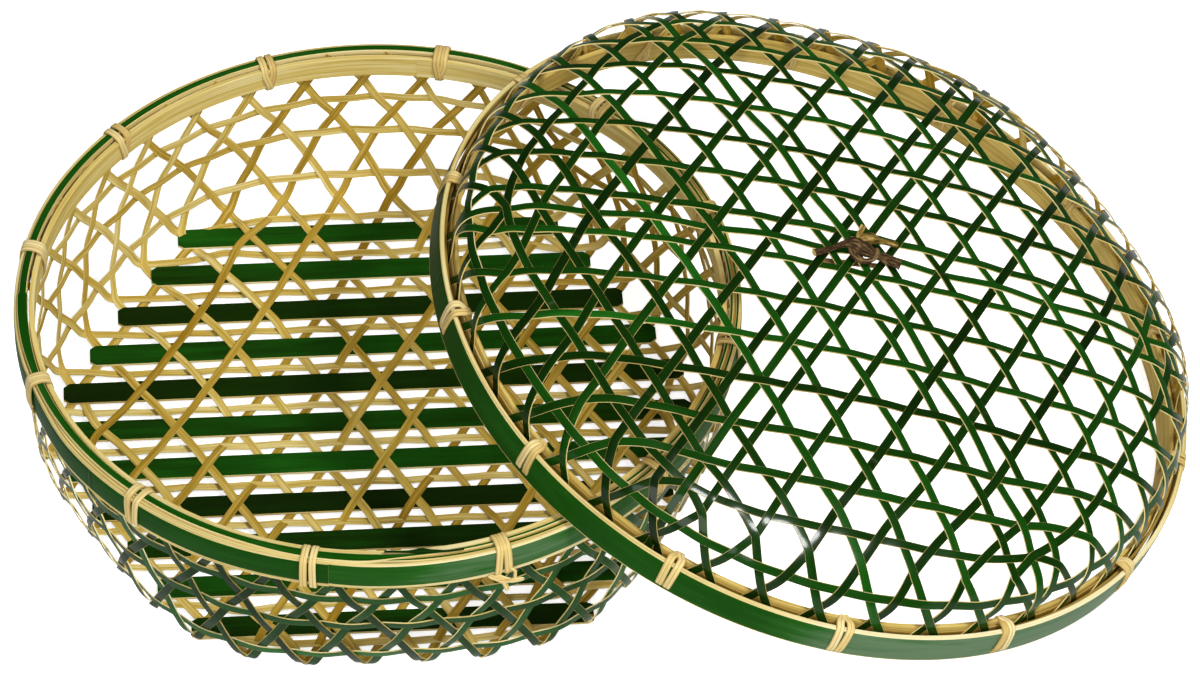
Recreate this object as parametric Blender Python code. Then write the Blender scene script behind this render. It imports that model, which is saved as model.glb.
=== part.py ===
"""Zaru bamboo basket: a round open-hexagon base basket and its domed lid.

The lid rests tilted, one edge on the ground and its rim lying over the rim of the base.
Units are metres and the ground is z = 0. Every named object is one separate piece.
Levels are distances from the middle of a weave, measured along it in strip pitches.
"""
import math

import bpy
import bmesh
import numpy as np
from mathutils import Matrix, Vector

# Split bamboo strips of both weaves
STRIP_WIDTH = 0.0048
STRIP_THICKNESS = 0.0007
LAYER_GAP_FLOOR = 0.0006     # air between two strip layers on the flat floor
LAYER_GAP_DOME = 0.0010      # the same on the dome
LAYER_GAP_BEND = 0.0011      # the same round the bend
LAYER_GAP_RIM = 0.00065      # the same inside the rim
RING_GAP = 0.0006            # air under the strips that run round the wall
RIM_GAP = 0.0009             # air between the strip ends and the hoops, which are faceted
COVER_GAP = 0.0008           # air between the strip ends and the strip that covers them
HOOP_SEGMENTS = 48

# Base basket
BASE_RIM_RADIUS = 0.1940     # middle strip layer between the two hoops
BASE_HEIGHT = 0.1075         # from the ground to the top of the rim
BASE_PITCH_SHARE = 0.1536    # distance between strips of one family, of the rim radius
BASE_STRIPS = 12             # strips in each of the three families
BASE_AZIMUTH = 2.38          # direction of the slats and of strip family a, degrees
# level, share of the rim radius, share of the height over the floor, and how much wider the
# hexagon's corners are than the mean, as a share
BASE_PROFILE_SHARES = (
    (0.00, 0.0000, 0.0000, 0.000), (1.50, 0.2304, 0.0000, 0.000), (3.00, 0.4608, 0.0000, 0.000),
    (4.30, 0.6605, 0.0000, 0.000), (5.00, 0.7773, 0.0030, 0.012), (5.50, 0.8629, 0.0064, 0.021),
    (5.80, 0.9139, 0.0125, 0.025), (6.00, 0.9423, 0.0235, 0.026), (6.20, 0.9600, 0.0570, 0.026),
    (6.50, 0.9727, 0.1500, 0.022), (7.00, 0.9856, 0.2886, 0.015), (7.50, 0.9933, 0.4275, 0.009),
    (8.00, 0.9972, 0.5408, 0.004), (8.50, 0.9990, 0.6495, 0.001), (9.00, 1.0000, 0.7761, 0.000),
    (9.90, 1.0000, 0.9783, 0.000),
)
BASE_RIM_SHARE = 9.30                  # level where the strips enter the rim
BASE_RING_SHARES = (6.5, 7.5, 8.5)     # levels of the three strips round the wall
BASE_BLEND_SHARES = (4.5, 6.0)         # levels where the floor's hexagon turns into a circle
BASE_HOOP_WALL = 0.0036
BASE_OUTER_HOOP_TALL = 0.0185
BASE_OUTER_HOOP_DROP = 0.0018          # its upper edge below the top of the rim
BASE_INNER_HOOP_TALL = 0.0137
BASE_INNER_HOOP_DROP = 0.0025
BASE_BAND_TALL = 0.0135                # strip ends held between the hoops
BASE_COVER_WIDTH = 0.0054
BASE_COVER_THICKNESS = 0.0015
BASE_TIES = 12
BASE_TIE_PHASE = 168.9                 # direction of the first tie, degrees

# Wide slats on the floor of the base
SLATS = 11
SLAT_WIDTH = 0.0152
SLAT_THICKNESS = 0.0012
SLAT_GAP = 0.0010                      # air between a slat and the strips under it
SLAT_REACH_SHARE = 5.70                # level where the slats stop
SLAT_HALF_SHARE = 5.90                 # half the length of the longest slats, in pitches
SLAT_CHAMFER = 0.0035

# Lid
LID_RIM_RADIUS = 0.2148
LID_PITCH_SHARE = 0.1341
LID_STRIPS = 14
LID_AZIMUTH = 0.8
LID_SHOULDER = 0.0200                  # height where the strips enter the rim
LID_DOME = 0.0560                      # rise of the dome above that
LID_DOME_SHARE = 3.0                   # flatness of the dome
LID_RING_SHARES = (7.5,)
LID_BLEND_SHARES = (4.5, 7.2)
LID_CORNER_SHARE = 0.026               # how much wider the dome is at the hexagon's corners
LID_CORNER_SHARES = (5.2, 6.5, 1.6)    # levels where that starts and is whole, and its run-out
LID_OUTER_HOOP_WALL = 0.0037
LID_INNER_HOOP_WALL = 0.0038
LID_OUTER_HOOP_TALL = 0.0190
LID_INNER_HOOP_TALL = 0.0220
LID_BAND_LOW = 0.0024                  # lower edge of the strip ends over the mouth
LID_COVER_WIDTH = 0.0042
LID_COVER_THICKNESS = 0.0012
LID_TIES = 14
LID_TIE_PHASE = 168.1
LID_AWAY = 0.2380                      # middle of the mouth from the middle of the base
LID_AWAY_AZIMUTH = -1.54
LID_LEAN_AZIMUTH = -6.2                # direction of the lid's lowest edge
LID_REST_GAP = 0.0008                  # air where the lid's rim crosses the rim of the base
LID_TILT_LIMITS = (2.0, 40.0)

# Rattan ties
TIE_WIDTH = 0.0080
TIE_WIDTH_LOW = 0.0060
TIE_THICKNESS = 0.0009
TIE_GAP = 0.00035
TIE_GAP_INSIDE = 0.00085               # wider, as the hoops are built of straight facets

# Knotted vine handle on top of the lid, and the peg under the weave that it is tied to
HANDLE_SPAN = 0.0480
HANDLE_GAP = 0.0003                    # air between the vines and the weave that they lie on
VINE_SHARE = 0.044                     # radius of the dark vine, of the span
TAN_SHARE = 0.034
PEG_SHARE = 0.036
VINE_SIDES = 8
# x, y and height over the weave, as shares of the span
HANDLE_DARK_SHARES = (
    (-0.54, -0.160, 0.000), (-0.36, -0.055, 0.000), (-0.19, 0.010, 0.000), (-0.03, 0.000, 0.000),
    (0.12, -0.020, 0.000), (0.27, -0.030, 0.000), (0.47, -0.045, 0.000),
)
HANDLE_LOOP_SHARES = (
    (-0.12, -0.060, 0.000), (-0.09, -0.150, 0.000), (-0.02, -0.190, 0.000), (0.07, -0.200, 0.000),
    (0.15, -0.170, 0.000), (0.20, -0.088, 0.000),
)
HANDLE_TAN_SHARES = (
    (0.45, 0.085, 0.010), (0.25, 0.085, 0.005), (0.10, 0.085, 0.000), (0.00, 0.086, 0.000),
    (-0.04, 0.105, 0.030), (-0.03, 0.150, 0.120), (0.02, 0.190, 0.180),
)
HANDLE_PEG_SHARES = ((-0.45, -0.165, 0.0), (-0.05, -0.100, 0.0), (0.34, -0.030, 0.0))

# How closely the strips follow their paths
SAMPLE_SHARE = 0.08                    # step along a path, in pitches
FLOOR_TOLERANCE = 0.00070              # how far a straight piece may leave the path
DOME_TOLERANCE = 0.00095
SIDE_SHARE = 3.0                       # how many times further it may leave it sideways
CORNER_SHARES = (0.24, 0.56)           # strips of one family keep off their corner, in pitches
SPREAD_LIMIT = 8.7                     # degrees between two points of the strip ends' band
SLOPE_SHARE = 0.02                     # half the distance over which a slope is read, in pitches
KNOT_SHARE = 0.16                      # distance of the dome table's rows, in pitches
STEEPEST = 0.6                         # least cosine that a corner is widened by
PROFILE_ROWS = 400
RIM_SAMPLES = 1441
RIM_ROWS = 5
RIM_EASE_SHARES = (0.9, 0.05)           # pitches before the rim where the layers close up
TILT_STEPS = 40

# Colours
GREEN_SKIN = (0.030, 0.105, 0.030, 1.0)
GREEN_DARK = (0.018, 0.055, 0.018, 1.0)
PALE_BAMBOO = (0.55, 0.40, 0.17, 1.0)
RATTAN = (0.72, 0.55, 0.27, 1.0)
VINE_BROWN = (0.080, 0.040, 0.025, 1.0)
VINE_TAN = (0.33, 0.19, 0.07, 1.0)

# Sizes that follow from the ones above
BASE_PITCH = BASE_PITCH_SHARE * BASE_RIM_RADIUS
LID_PITCH = LID_PITCH_SHARE * LID_RIM_RADIUS
FLOOR_STEP = STRIP_THICKNESS + LAYER_GAP_FLOOR
DOME_STEP = STRIP_THICKNESS + LAYER_GAP_DOME
BEND_STEP = STRIP_THICKNESS + LAYER_GAP_BEND
RIM_STEP = STRIP_THICKNESS + LAYER_GAP_RIM
BASE_FLOOR = FLOOR_STEP + STRIP_THICKNESS / 2.0
RIM_REACH = RIM_STEP + STRIP_THICKNESS / 2.0 + RIM_GAP
VINE_RADIUS = VINE_SHARE * HANDLE_SPAN
TAN_RADIUS = TAN_SHARE * HANDLE_SPAN
PEG_RADIUS = PEG_SHARE * HANDLE_SPAN


def ring_size(inner, wall, low, tall):
    """Inner radius, outer radius, bottom and top of a hoop."""
    return inner, inner + wall, low, low + tall


BASE_OUTER_HOOP = ring_size(BASE_RIM_RADIUS + RIM_REACH, BASE_HOOP_WALL,
                            BASE_HEIGHT - BASE_OUTER_HOOP_DROP - BASE_OUTER_HOOP_TALL,
                            BASE_OUTER_HOOP_TALL)
BASE_INNER_HOOP = ring_size(BASE_RIM_RADIUS - RIM_REACH - BASE_HOOP_WALL, BASE_HOOP_WALL,
                            BASE_HEIGHT - BASE_INNER_HOOP_DROP - BASE_INNER_HOOP_TALL,
                            BASE_INNER_HOOP_TALL)
BASE_COVER = ring_size(BASE_RIM_RADIUS - BASE_COVER_WIDTH / 2.0, BASE_COVER_WIDTH,
                       BASE_HEIGHT - BASE_COVER_THICKNESS, BASE_COVER_THICKNESS)
BASE_BAND_TOP = BASE_COVER[2] - COVER_GAP
BASE_BAND = (BASE_BAND_TOP - BASE_BAND_TALL, BASE_BAND_TOP)
LID_OUTER_HOOP = ring_size(LID_RIM_RADIUS + RIM_REACH, LID_OUTER_HOOP_WALL, 0.0,
                           LID_OUTER_HOOP_TALL)
LID_INNER_HOOP = ring_size(LID_RIM_RADIUS - RIM_REACH - LID_INNER_HOOP_WALL,
                           LID_INNER_HOOP_WALL, 0.0, LID_INNER_HOOP_TALL)
LID_COVER = ring_size(LID_RIM_RADIUS - LID_COVER_WIDTH / 2.0, LID_COVER_WIDTH,
                      LID_BAND_LOW - COVER_GAP - LID_COVER_THICKNESS + STRIP_THICKNESS / 2.0,
                      LID_COVER_THICKNESS)
LID_BAND = (LID_BAND_LOW, LID_SHOULDER)

SIN60 = math.sin(math.radians(60.0))
TAN60 = math.tan(math.radians(60.0))


def clear_scene():
    for obj in list(bpy.data.objects):
        bpy.data.objects.remove(obj, do_unlink=True)


def make_material(name, colour, roughness):
    material = bpy.data.materials.new(name)
    material.use_nodes = True
    shader = material.node_tree.nodes.get("Principled BSDF")
    shader.inputs["Base Color"].default_value = colour
    shader.inputs["Roughness"].default_value = roughness
    material.diffuse_color = colour
    return material


def add_object(name, verts, faces, colour, roughness=0.5):
    mesh = bpy.data.meshes.new(name)
    mesh.from_pydata([tuple(v) for v in verts], [], [tuple(f) for f in faces])
    mesh.validate()
    work = bmesh.new()
    work.from_mesh(mesh)
    bmesh.ops.recalc_face_normals(work, faces=work.faces)
    work.to_mesh(mesh)
    work.free()
    obj = bpy.data.objects.new(name, mesh)
    bpy.context.scene.collection.objects.link(obj)
    mesh.materials.append(make_material(name + "_material", colour, roughness))
    return obj


class Curve:
    """Smooth monotone curve through a table of values."""

    def __init__(self, xs, ys):
        self.x = np.array(xs, float)
        self.y = np.array(ys, float)
        h = np.diff(self.x)
        d = np.diff(self.y) / h
        m = np.zeros(len(self.x))
        m[0] = d[0]
        m[-1] = d[-1]
        for i in range(1, len(m) - 1):
            if d[i - 1] * d[i] > 0.0:
                w1 = 2.0 * h[i] + h[i - 1]
                w2 = h[i] + 2.0 * h[i - 1]
                m[i] = (w1 + w2) / (w1 / d[i - 1] + w2 / d[i])
        self.h = h
        self.m = m

    def __call__(self, x):
        i = int(np.clip(np.searchsorted(self.x, x) - 1, 0, len(self.h) - 1))
        t = (x - self.x[i]) / self.h[i]
        t = min(max(t, 0.0), 1.0)
        a = 2.0 * t ** 3 - 3.0 * t ** 2 + 1.0
        b = t ** 3 - 2.0 * t ** 2 + t
        c = -2.0 * t ** 3 + 3.0 * t ** 2
        e = t ** 3 - t ** 2
        return (a * self.y[i] + b * self.h[i] * self.m[i]
                + c * self.y[i + 1] + e * self.h[i] * self.m[i + 1])


def smooth(a, b, x):
    t = min(max((x - a) / (b - a), 0.0), 1.0)
    return t * t * (3.0 - 2.0 * t)


class Shell:
    """Surface of the weave: developed hexagon distance mapped to a bowl or a dome."""

    def __init__(self, pitch, count, azimuth, profile, blend, outward, frame, rim_level, step,
                 tolerance):
        self.pitch = pitch
        self.step = step
        self.tolerance = tolerance
        self.half = count // 2
        self.azimuth = math.radians(azimuth)
        self.radius = Curve([p[0] for p in profile], [p[1] for p in profile])
        self.height = Curve([p[0] for p in profile], [p[2] for p in profile])
        self.corner = Curve([p[0] for p in profile], [p[3] for p in profile])
        self.blend = blend
        self.outward = outward
        self.frame = frame
        self.rim_level = rim_level

    def reach(self, level, angle):
        """Distance from the axis, larger towards the hexagon's corners."""
        return self.radius(level) * (1.0 + self.corner(level) * math.cos(6.0 * (angle - self.azimuth)))

    def layer_step(self, level):
        bend = smooth(self.blend[0], self.blend[0] + 1.0, level)
        rim = smooth(self.rim_level - RIM_EASE_SHARES[0], self.rim_level - RIM_EASE_SHARES[1], level)
        step = self.step + (BEND_STEP - self.step) * bend
        return step + (RIM_STEP - step) * rim

    def point(self, level, angle, layer, extra=0.0):
        """Point and outward normal at a developed level (pitches), angle and layer number."""
        eps = SLOPE_SHARE
        dr = self.reach(level + eps, angle) - self.reach(max(level - eps, 0.0), angle)
        dz = self.height(level + eps) - self.height(max(level - eps, 0.0))
        length = math.hypot(dr, dz)
        nr = self.outward * dz / length
        nz = -self.outward * dr / length
        offset = layer * self.layer_step(level) + extra
        r = self.reach(level, angle) + nr * offset
        z = self.height(level) + nz * offset
        ca = math.cos(angle)
        sa = math.sin(angle)
        return Vector((r * ca, r * sa, z)), Vector((nr * ca, nr * sa, nz))

    def floor(self, x, y):
        """Level and angle for a point of the flat hexagon, in pitches."""
        rho = math.hypot(x, y)
        if rho < 1e-9:
            return 0.0, self.azimuth
        true = math.atan2(y, x)
        side = math.floor(true / math.radians(60.0))
        centre = math.radians(60.0 * side + 30.0)
        d = x * math.cos(centre) + y * math.sin(centre)
        t = -x * math.sin(centre) + y * math.cos(centre)
        w = smooth(self.blend[0], self.blend[1], d)
        level = (1.0 - w) * rho + w * d
        even = centre + math.radians(30.0) * t / (d / TAN60)
        angle = (1.0 - w) * true + w * even
        return level, angle + self.azimuth

    def strip_stations(self, family, offset):
        """Closely spaced levels and angles along one strip, from rim to rim."""
        turn = math.radians(120.0 * family)
        ca = math.cos(turn)
        sa = math.sin(turn)
        n = float(self.half)
        edge = (n - abs(offset) / 2.0) / SIN60
        count = 2 * int(math.ceil(edge / SAMPLE_SHARE))
        stations = []
        for i in range(count + 1):
            t = edge * (2.0 * i / count - 1.0)
            stations.append(self.floor(t * ca - offset * sa, t * sa + offset * ca))
        ends = []
        index = int(round(abs(offset) - 0.5)) if abs(offset) > 0.0 else None
        gap = abs(offset) and (abs(offset) / SIN60)
        rows = int(math.ceil((self.rim_level - n) / SAMPLE_SHARE))
        for sign in (1.0, -1.0):
            corner = turn if sign > 0.0 else turn + math.pi
            side = 1.0 if offset * sign > 0.0 else -1.0
            wall = []
            for i in range(1, rows + 1):
                level = n + (self.rim_level - n) * i / rows
                along = 0.0
                if index is not None:
                    along = gap - (level - n) / TAN60
                    if index < len(CORNER_SHARES):
                        along = max(along, CORNER_SHARES[index])
                angle = corner + side * math.radians(60.0) * along / (n * 2.0 / TAN60)
                wall.append((level, angle + self.azimuth))
            ends.append(wall)
        return list(reversed(ends[1])) + stations + ends[0]


def thin_out(places, tolerance, ease):
    """Numbers of the stations that keep a path within the tolerance, laxer sideways."""
    keep = {0, len(places) - 1}
    stack = [(0, len(places) - 1)]
    while stack:
        a, b = stack.pop()
        start = places[a][0]
        run = places[b][0] - start
        length = run.length
        worst = tolerance
        best = None
        for i in range(a + 1, b):
            step = places[i][0] - start
            if length:
                step = step - run * (step.dot(run) / length ** 2)
            lift = step.dot(places[i][1])
            side = (step - places[i][1] * lift).length
            away = max(abs(lift), side / ease)
            if away > worst:
                worst = away
                best = i
        if best is not None:
            keep.add(best)
            stack.append((a, best))
            stack.append((best, b))
    return sorted(keep)


def thick_sheet(points, normals, quads, thickness):
    """Closed solid from a sheet of quads: both faces and the rim between them."""
    count = len(points)
    top = [p + n * (thickness / 2.0) for p, n in zip(points, normals)]
    low = [p - n * (thickness / 2.0) for p, n in zip(points, normals)]
    faces = []
    edges = {}
    oriented = []
    for quad in quads:
        a = points[quad[1]] - points[quad[0]]
        b = points[quad[3]] - points[quad[0]]
        mean = normals[quad[0]] + normals[quad[1]] + normals[quad[2]] + normals[quad[3]]
        if a.cross(b).dot(mean) < 0.0:
            quad = tuple(reversed(quad))
        oriented.append(tuple(quad))
    for quad in oriented:
        faces.append(quad)
        faces.append(tuple(v + count for v in reversed(quad)))
        for i in range(4):
            edges[(quad[i], quad[(i + 1) % 4])] = True
    for a, b in edges:
        if (b, a) not in edges:
            faces.append((b, a, a + count, b + count))
    return top + low, faces


def on_ring(radius, angle, height):
    return Vector((radius * math.cos(angle), radius * math.sin(angle), height))


def weave_family(name, shell, family, layer, offsets, band, band_radius, colour):
    """All parallel strips of one family with the band of their ends inside the rim."""
    points = []
    normals = []
    quads = []
    ends = []
    for offset in offsets:
        stations = shell.strip_stations(family, offset)
        places = [shell.point(level, angle, layer) for level, angle in stations]
        keep = thin_out(places, shell.tolerance, SIDE_SHARE)
        stations = [stations[i] for i in keep]
        places = [places[i] for i in keep]
        first = len(points)
        last = len(places) - 1
        for i, (p, n) in enumerate(places):
            before = places[max(i - 1, 0)][0]
            after = places[min(i + 1, last)][0]
            tangent = (after - before).normalized()
            across = n.cross(tangent).normalized()
            half = STRIP_WIDTH / 2.0
            if i in (0, last):
                angle = stations[i][1]
                level_dir = Vector((-math.sin(angle), math.cos(angle), 0.0))
                if across.dot(level_dir) < 0.0:
                    level_dir = -level_dir
                slant = max(abs(across.dot(level_dir)), STEEPEST)
                turn = half / slant / band_radius
                around = Vector((-math.sin(angle), math.cos(angle), 0.0))
                sign = 1.0 if level_dir.dot(around) > 0.0 else -1.0
                pair = []
                for s in (1.0, -1.0):
                    a = angle + s * sign * turn
                    pair.append(on_ring(band_radius, a, band[0]))
                    ends.append((a, len(points) + (0 if s > 0 else 1), first, i))
                points.extend(pair)
                for s in (1.0, -1.0):
                    a = angle + s * sign * turn
                    normals.append(Vector((math.cos(a), math.sin(a), 0.0)))
            else:
                points.append(p + across * half)
                points.append(p - across * half)
                normals.append(n)
                normals.append(n)
        for i in range(last):
            a = first + 2 * i
            quads.append((a, a + 1, a + 3, a + 2))
    # the band: its lower edge runs through the strip ends
    ring = sorted(((a % (2.0 * math.pi)), v) for a, v, _, _ in ends)
    low_ring = []
    limit = math.radians(SPREAD_LIMIT)
    for i, (a, v) in enumerate(ring):
        low_ring.append((a, v))
        b = ring[(i + 1) % len(ring)][0]
        if i == len(ring) - 1:
            b += 2.0 * math.pi
        parts = int(math.ceil((b - a) / limit))
        for k in range(1, parts):
            angle = a + (b - a) * k / parts
            points.append(on_ring(band_radius, angle, band[0]))
            normals.append(Vector((math.cos(angle), math.sin(angle), 0.0)))
            low_ring.append((angle, len(points) - 1))
    high = []
    for angle, _ in low_ring:
        points.append(on_ring(band_radius, angle, band[1]))
        normals.append(Vector((math.cos(angle), math.sin(angle), 0.0)))
        high.append(len(points) - 1)
    total = len(low_ring)
    for i in range(total):
        j = (i + 1) % total
        quads.append((low_ring[i][1], low_ring[j][1], high[j], high[i]))
    verts, faces = thick_sheet(points, normals, quads, STRIP_THICKNESS)
    verts = [shell.frame @ v for v in verts]
    return add_object(name, verts, faces, colour, 0.45)


def hoop(name, size, segments, frame, colour, roughness=0.4):
    """Flat bamboo hoop with a rectangular section."""
    inner, outer, low, high = size
    verts = []
    faces = []
    for i in range(segments):
        a = 2.0 * math.pi * i / segments
        for r, z in ((inner, low), (outer, low), (outer, high), (inner, high)):
            verts.append(frame @ Vector((r * math.cos(a), r * math.sin(a), z)))
    for i in range(segments):
        j = (i + 1) % segments
        for k in range(4):
            m = (k + 1) % 4
            faces.append((4 * i + k, 4 * j + k, 4 * j + m, 4 * i + m))
    return add_object(name, verts, faces, colour, roughness)


def ring_strip(name, shell, level, segments, colour):
    """Horizontal strip round the wall, outside the three strip layers."""
    offset = BEND_STEP + STRIP_THICKNESS + RING_GAP
    eps = STRIP_WIDTH / 2.0 / shell.pitch
    verts = []
    faces = []
    for i in range(segments):
        a = 2.0 * math.pi * (i + 0.5) / segments
        rows = []
        for lv in (level - eps, level + eps):
            p, n = shell.point(lv, a, 0)
            rows.append((p + n * (offset + STRIP_THICKNESS), p + n * offset))
        for v in (rows[0][0], rows[0][1], rows[1][1], rows[1][0]):
            verts.append(shell.frame @ v)
    for i in range(segments):
        j = (i + 1) % segments
        for k in range(4):
            m = (k + 1) % 4
            faces.append((4 * i + k, 4 * j + k, 4 * j + m, 4 * i + m))
    return add_object(name, verts, faces, colour, 0.45)


def tie(name, section, widths, angle, frame):
    """Rattan wrap round the rim: a closed band that follows the rim's section."""
    count = len(section)
    middle = Vector((sum(p[0] for p in section) / count, sum(p[1] for p in section) / count))
    radial = Vector((math.cos(angle), math.sin(angle), 0.0))
    side = Vector((-math.sin(angle), math.cos(angle), 0.0))
    up = Vector((0.0, 0.0, 1.0))
    verts = []
    faces = []
    for i in range(count):
        p = Vector(section[i])
        before = Vector(section[i - 1])
        after = Vector(section[(i + 1) % count])
        t1 = (p - before).normalized()
        t2 = (after - p).normalized()
        bisect = Vector((t1.y + t2.y, -(t1.x + t2.x)))
        bisect.normalize()
        if bisect.dot(p - middle) < 0.0:
            bisect = -bisect
        cosine = abs(bisect.dot(Vector((t1.y, -t1.x))))
        out = p + bisect * (TIE_THICKNESS / max(cosine, STEEPEST))
        half = widths[i] / 2.0
        for q, s in ((p, -1.0), (out, -1.0), (out, 1.0), (p, 1.0)):
            verts.append(frame @ (radial * q.x + up * q.y + side * (s * half)))
    for i in range(count):
        j = (i + 1) % count
        for k in range(4):
            m = (k + 1) % 4
            faces.append((4 * i + k, 4 * j + k, 4 * j + m, 4 * i + m))
    return add_object(name, verts, faces, RATTAN, 0.55)


def slat(name, index, shell):
    """Wide slat lying on the floor weave, its ends bent up with the weave and clipped."""
    row = float(SLATS // 2 - index)
    reach = min((SLAT_REACH_SHARE - abs(row) / 2.0) / SIN60, SLAT_HALF_SHARE)
    half = SLAT_WIDTH / 2.0 / shell.pitch
    lift = -(STRIP_THICKNESS / 2.0 + SLAT_GAP + SLAT_THICKNESS / 2.0)
    clip = SLAT_CHAMFER / shell.pitch
    count = 2 * int(math.ceil(reach / SAMPLE_SHARE))
    path = [reach * (2.0 * i / count - 1.0) for i in range(count + 1)]
    places = [shell.point(*shell.floor(t, row), -1, lift) for t in path]
    keep = thin_out(places, shell.tolerance, SIDE_SHARE)
    spots = [path[i] for i in keep]
    spots = [spots[0], spots[0] + clip] + spots[1:-1] + [spots[-1] - clip, spots[-1]]
    points = []
    normals = []
    quads = []
    for i, t in enumerate(spots):
        wide = half - (clip if i in (0, len(spots) - 1) else 0.0)
        for side in (1.0, -1.0):
            p, n = shell.point(*shell.floor(t, row + side * wide), -1, lift)
            points.append(p)
            normals.append(n)
        if i:
            quads.append((2 * i - 2, 2 * i - 1, 2 * i + 1, 2 * i))
    verts, faces = thick_sheet(points, normals, quads, SLAT_THICKNESS)
    return add_object(name, verts, faces, GREEN_DARK, 0.4)


def tube(name, path, radius, frame, colour):
    """Round vine following a path, closed at both ends."""
    pts = [Vector(p) for p in path]
    verts = []
    faces = []
    normal = Vector((0.0, 1.0, 0.0))
    for i, p in enumerate(pts):
        before = pts[max(i - 1, 0)]
        after = pts[min(i + 1, len(pts) - 1)]
        tangent = (after - before).normalized()
        normal = (normal - tangent * normal.dot(tangent)).normalized()
        across = tangent.cross(normal)
        for k in range(VINE_SIDES):
            a = 2.0 * math.pi * k / VINE_SIDES
            verts.append(frame @ (p + (normal * math.cos(a) + across * math.sin(a)) * radius))
    n = VINE_SIDES
    for i in range(len(pts) - 1):
        for k in range(n):
            m = (k + 1) % n
            faces.append((n * i + k, n * i + m, n * (i + 1) + m, n * (i + 1) + k))
    faces.append(tuple(reversed(range(n))))
    faces.append(tuple(range(n * (len(pts) - 1), n * len(pts))))
    return add_object(name, verts, faces, colour, 0.7)


def crossing_gap(frame):
    """Least height of the lid's hoops over the top faces of the base's rim."""
    turn = np.linspace(0.0, 2.0 * math.pi, RIM_SAMPLES)
    least = math.inf
    for r in np.linspace(LID_INNER_HOOP[0], LID_OUTER_HOOP[1], RIM_ROWS):
        x, y, z = [frame[i][0] * r * np.cos(turn) + frame[i][1] * r * np.sin(turn) + frame[i][3]
                   for i in range(3)]
        away = np.hypot(x, y)
        for ring in (BASE_OUTER_HOOP, BASE_INNER_HOOP, BASE_COVER):
            over = (away > ring[0]) & (away < ring[1])
            if over.any():
                least = min(least, float((z[over] - ring[3]).min()))
    return least


def lid_frame():
    """The lid as it lies: lowest edge on the ground, its rim over the rim of the base."""
    lean = math.radians(LID_LEAN_AZIMUTH)
    away = math.radians(LID_AWAY_AZIMUTH)
    foot = TIE_GAP + TIE_THICKNESS
    flat, steep = (math.radians(a) for a in LID_TILT_LIMITS)
    for _ in range(TILT_STEPS):
        tilt = (flat + steep) / 2.0
        n = Vector((math.sin(tilt) * math.cos(lean), math.sin(tilt) * math.sin(lean),
                    math.cos(tilt)))
        ex = Vector((0.0, 1.0, 0.0)).cross(n).normalized()
        ey = n.cross(ex).normalized()
        height = (LID_OUTER_HOOP[1] + foot) * math.sin(tilt) + foot * math.cos(tilt)
        c = (LID_AWAY * math.cos(away), LID_AWAY * math.sin(away), height)
        frame = Matrix(((ex.x, ey.x, n.x, c[0]), (ex.y, ey.y, n.y, c[1]),
                        (ex.z, ey.z, n.z, c[2]), (0.0, 0.0, 0.0, 1.0)))
        if crossing_gap(frame) < LID_REST_GAP:
            flat = tilt
        else:
            steep = tilt
    return frame


def lid_profile():
    """Dome table: level, radius, height; and the level where the strips enter the rim."""
    rows = []
    length = 0.0
    previous = None
    for i in range(PROFILE_ROWS + 1):
        a = math.pi / 2.0 * i / PROFILE_ROWS
        r = LID_RIM_RADIUS * math.sin(a)
        z = LID_SHOULDER + LID_DOME * math.cos(a) ** (2.0 / LID_DOME_SHARE)
        if previous is not None:
            length += math.hypot(r - previous[0], z - previous[1])
        previous = (r, z)
        rows.append((length / LID_PITCH, r, z))
    # keep rows that are about evenly far apart
    knots = [rows[0]]
    for row in rows:
        if row[0] - knots[-1][0] > KNOT_SHARE:
            knots.append(row)
    if rows[-1][0] - knots[-1][0] > KNOT_SHARE / 3.0:
        knots.append(rows[-1])
    else:
        knots[-1] = rows[-1]
    end = knots[-1][0]
    drop = LID_SHOULDER - LID_BAND[0]
    knots.append((end + drop / LID_PITCH, LID_RIM_RADIUS, LID_BAND[0]))
    first, whole, run_out = LID_CORNER_SHARES
    return [(level, r, z, LID_CORNER_SHARE * smooth(first, whole, level)
             * (1.0 - smooth(end - run_out, end, level))) for level, r, z in knots], end


def base_profile():
    rise = BASE_HEIGHT - BASE_FLOOR
    return [(level, r * BASE_RIM_RADIUS, BASE_FLOOR + z * rise, corner)
            for level, r, z, corner in BASE_PROFILE_SHARES]


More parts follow.
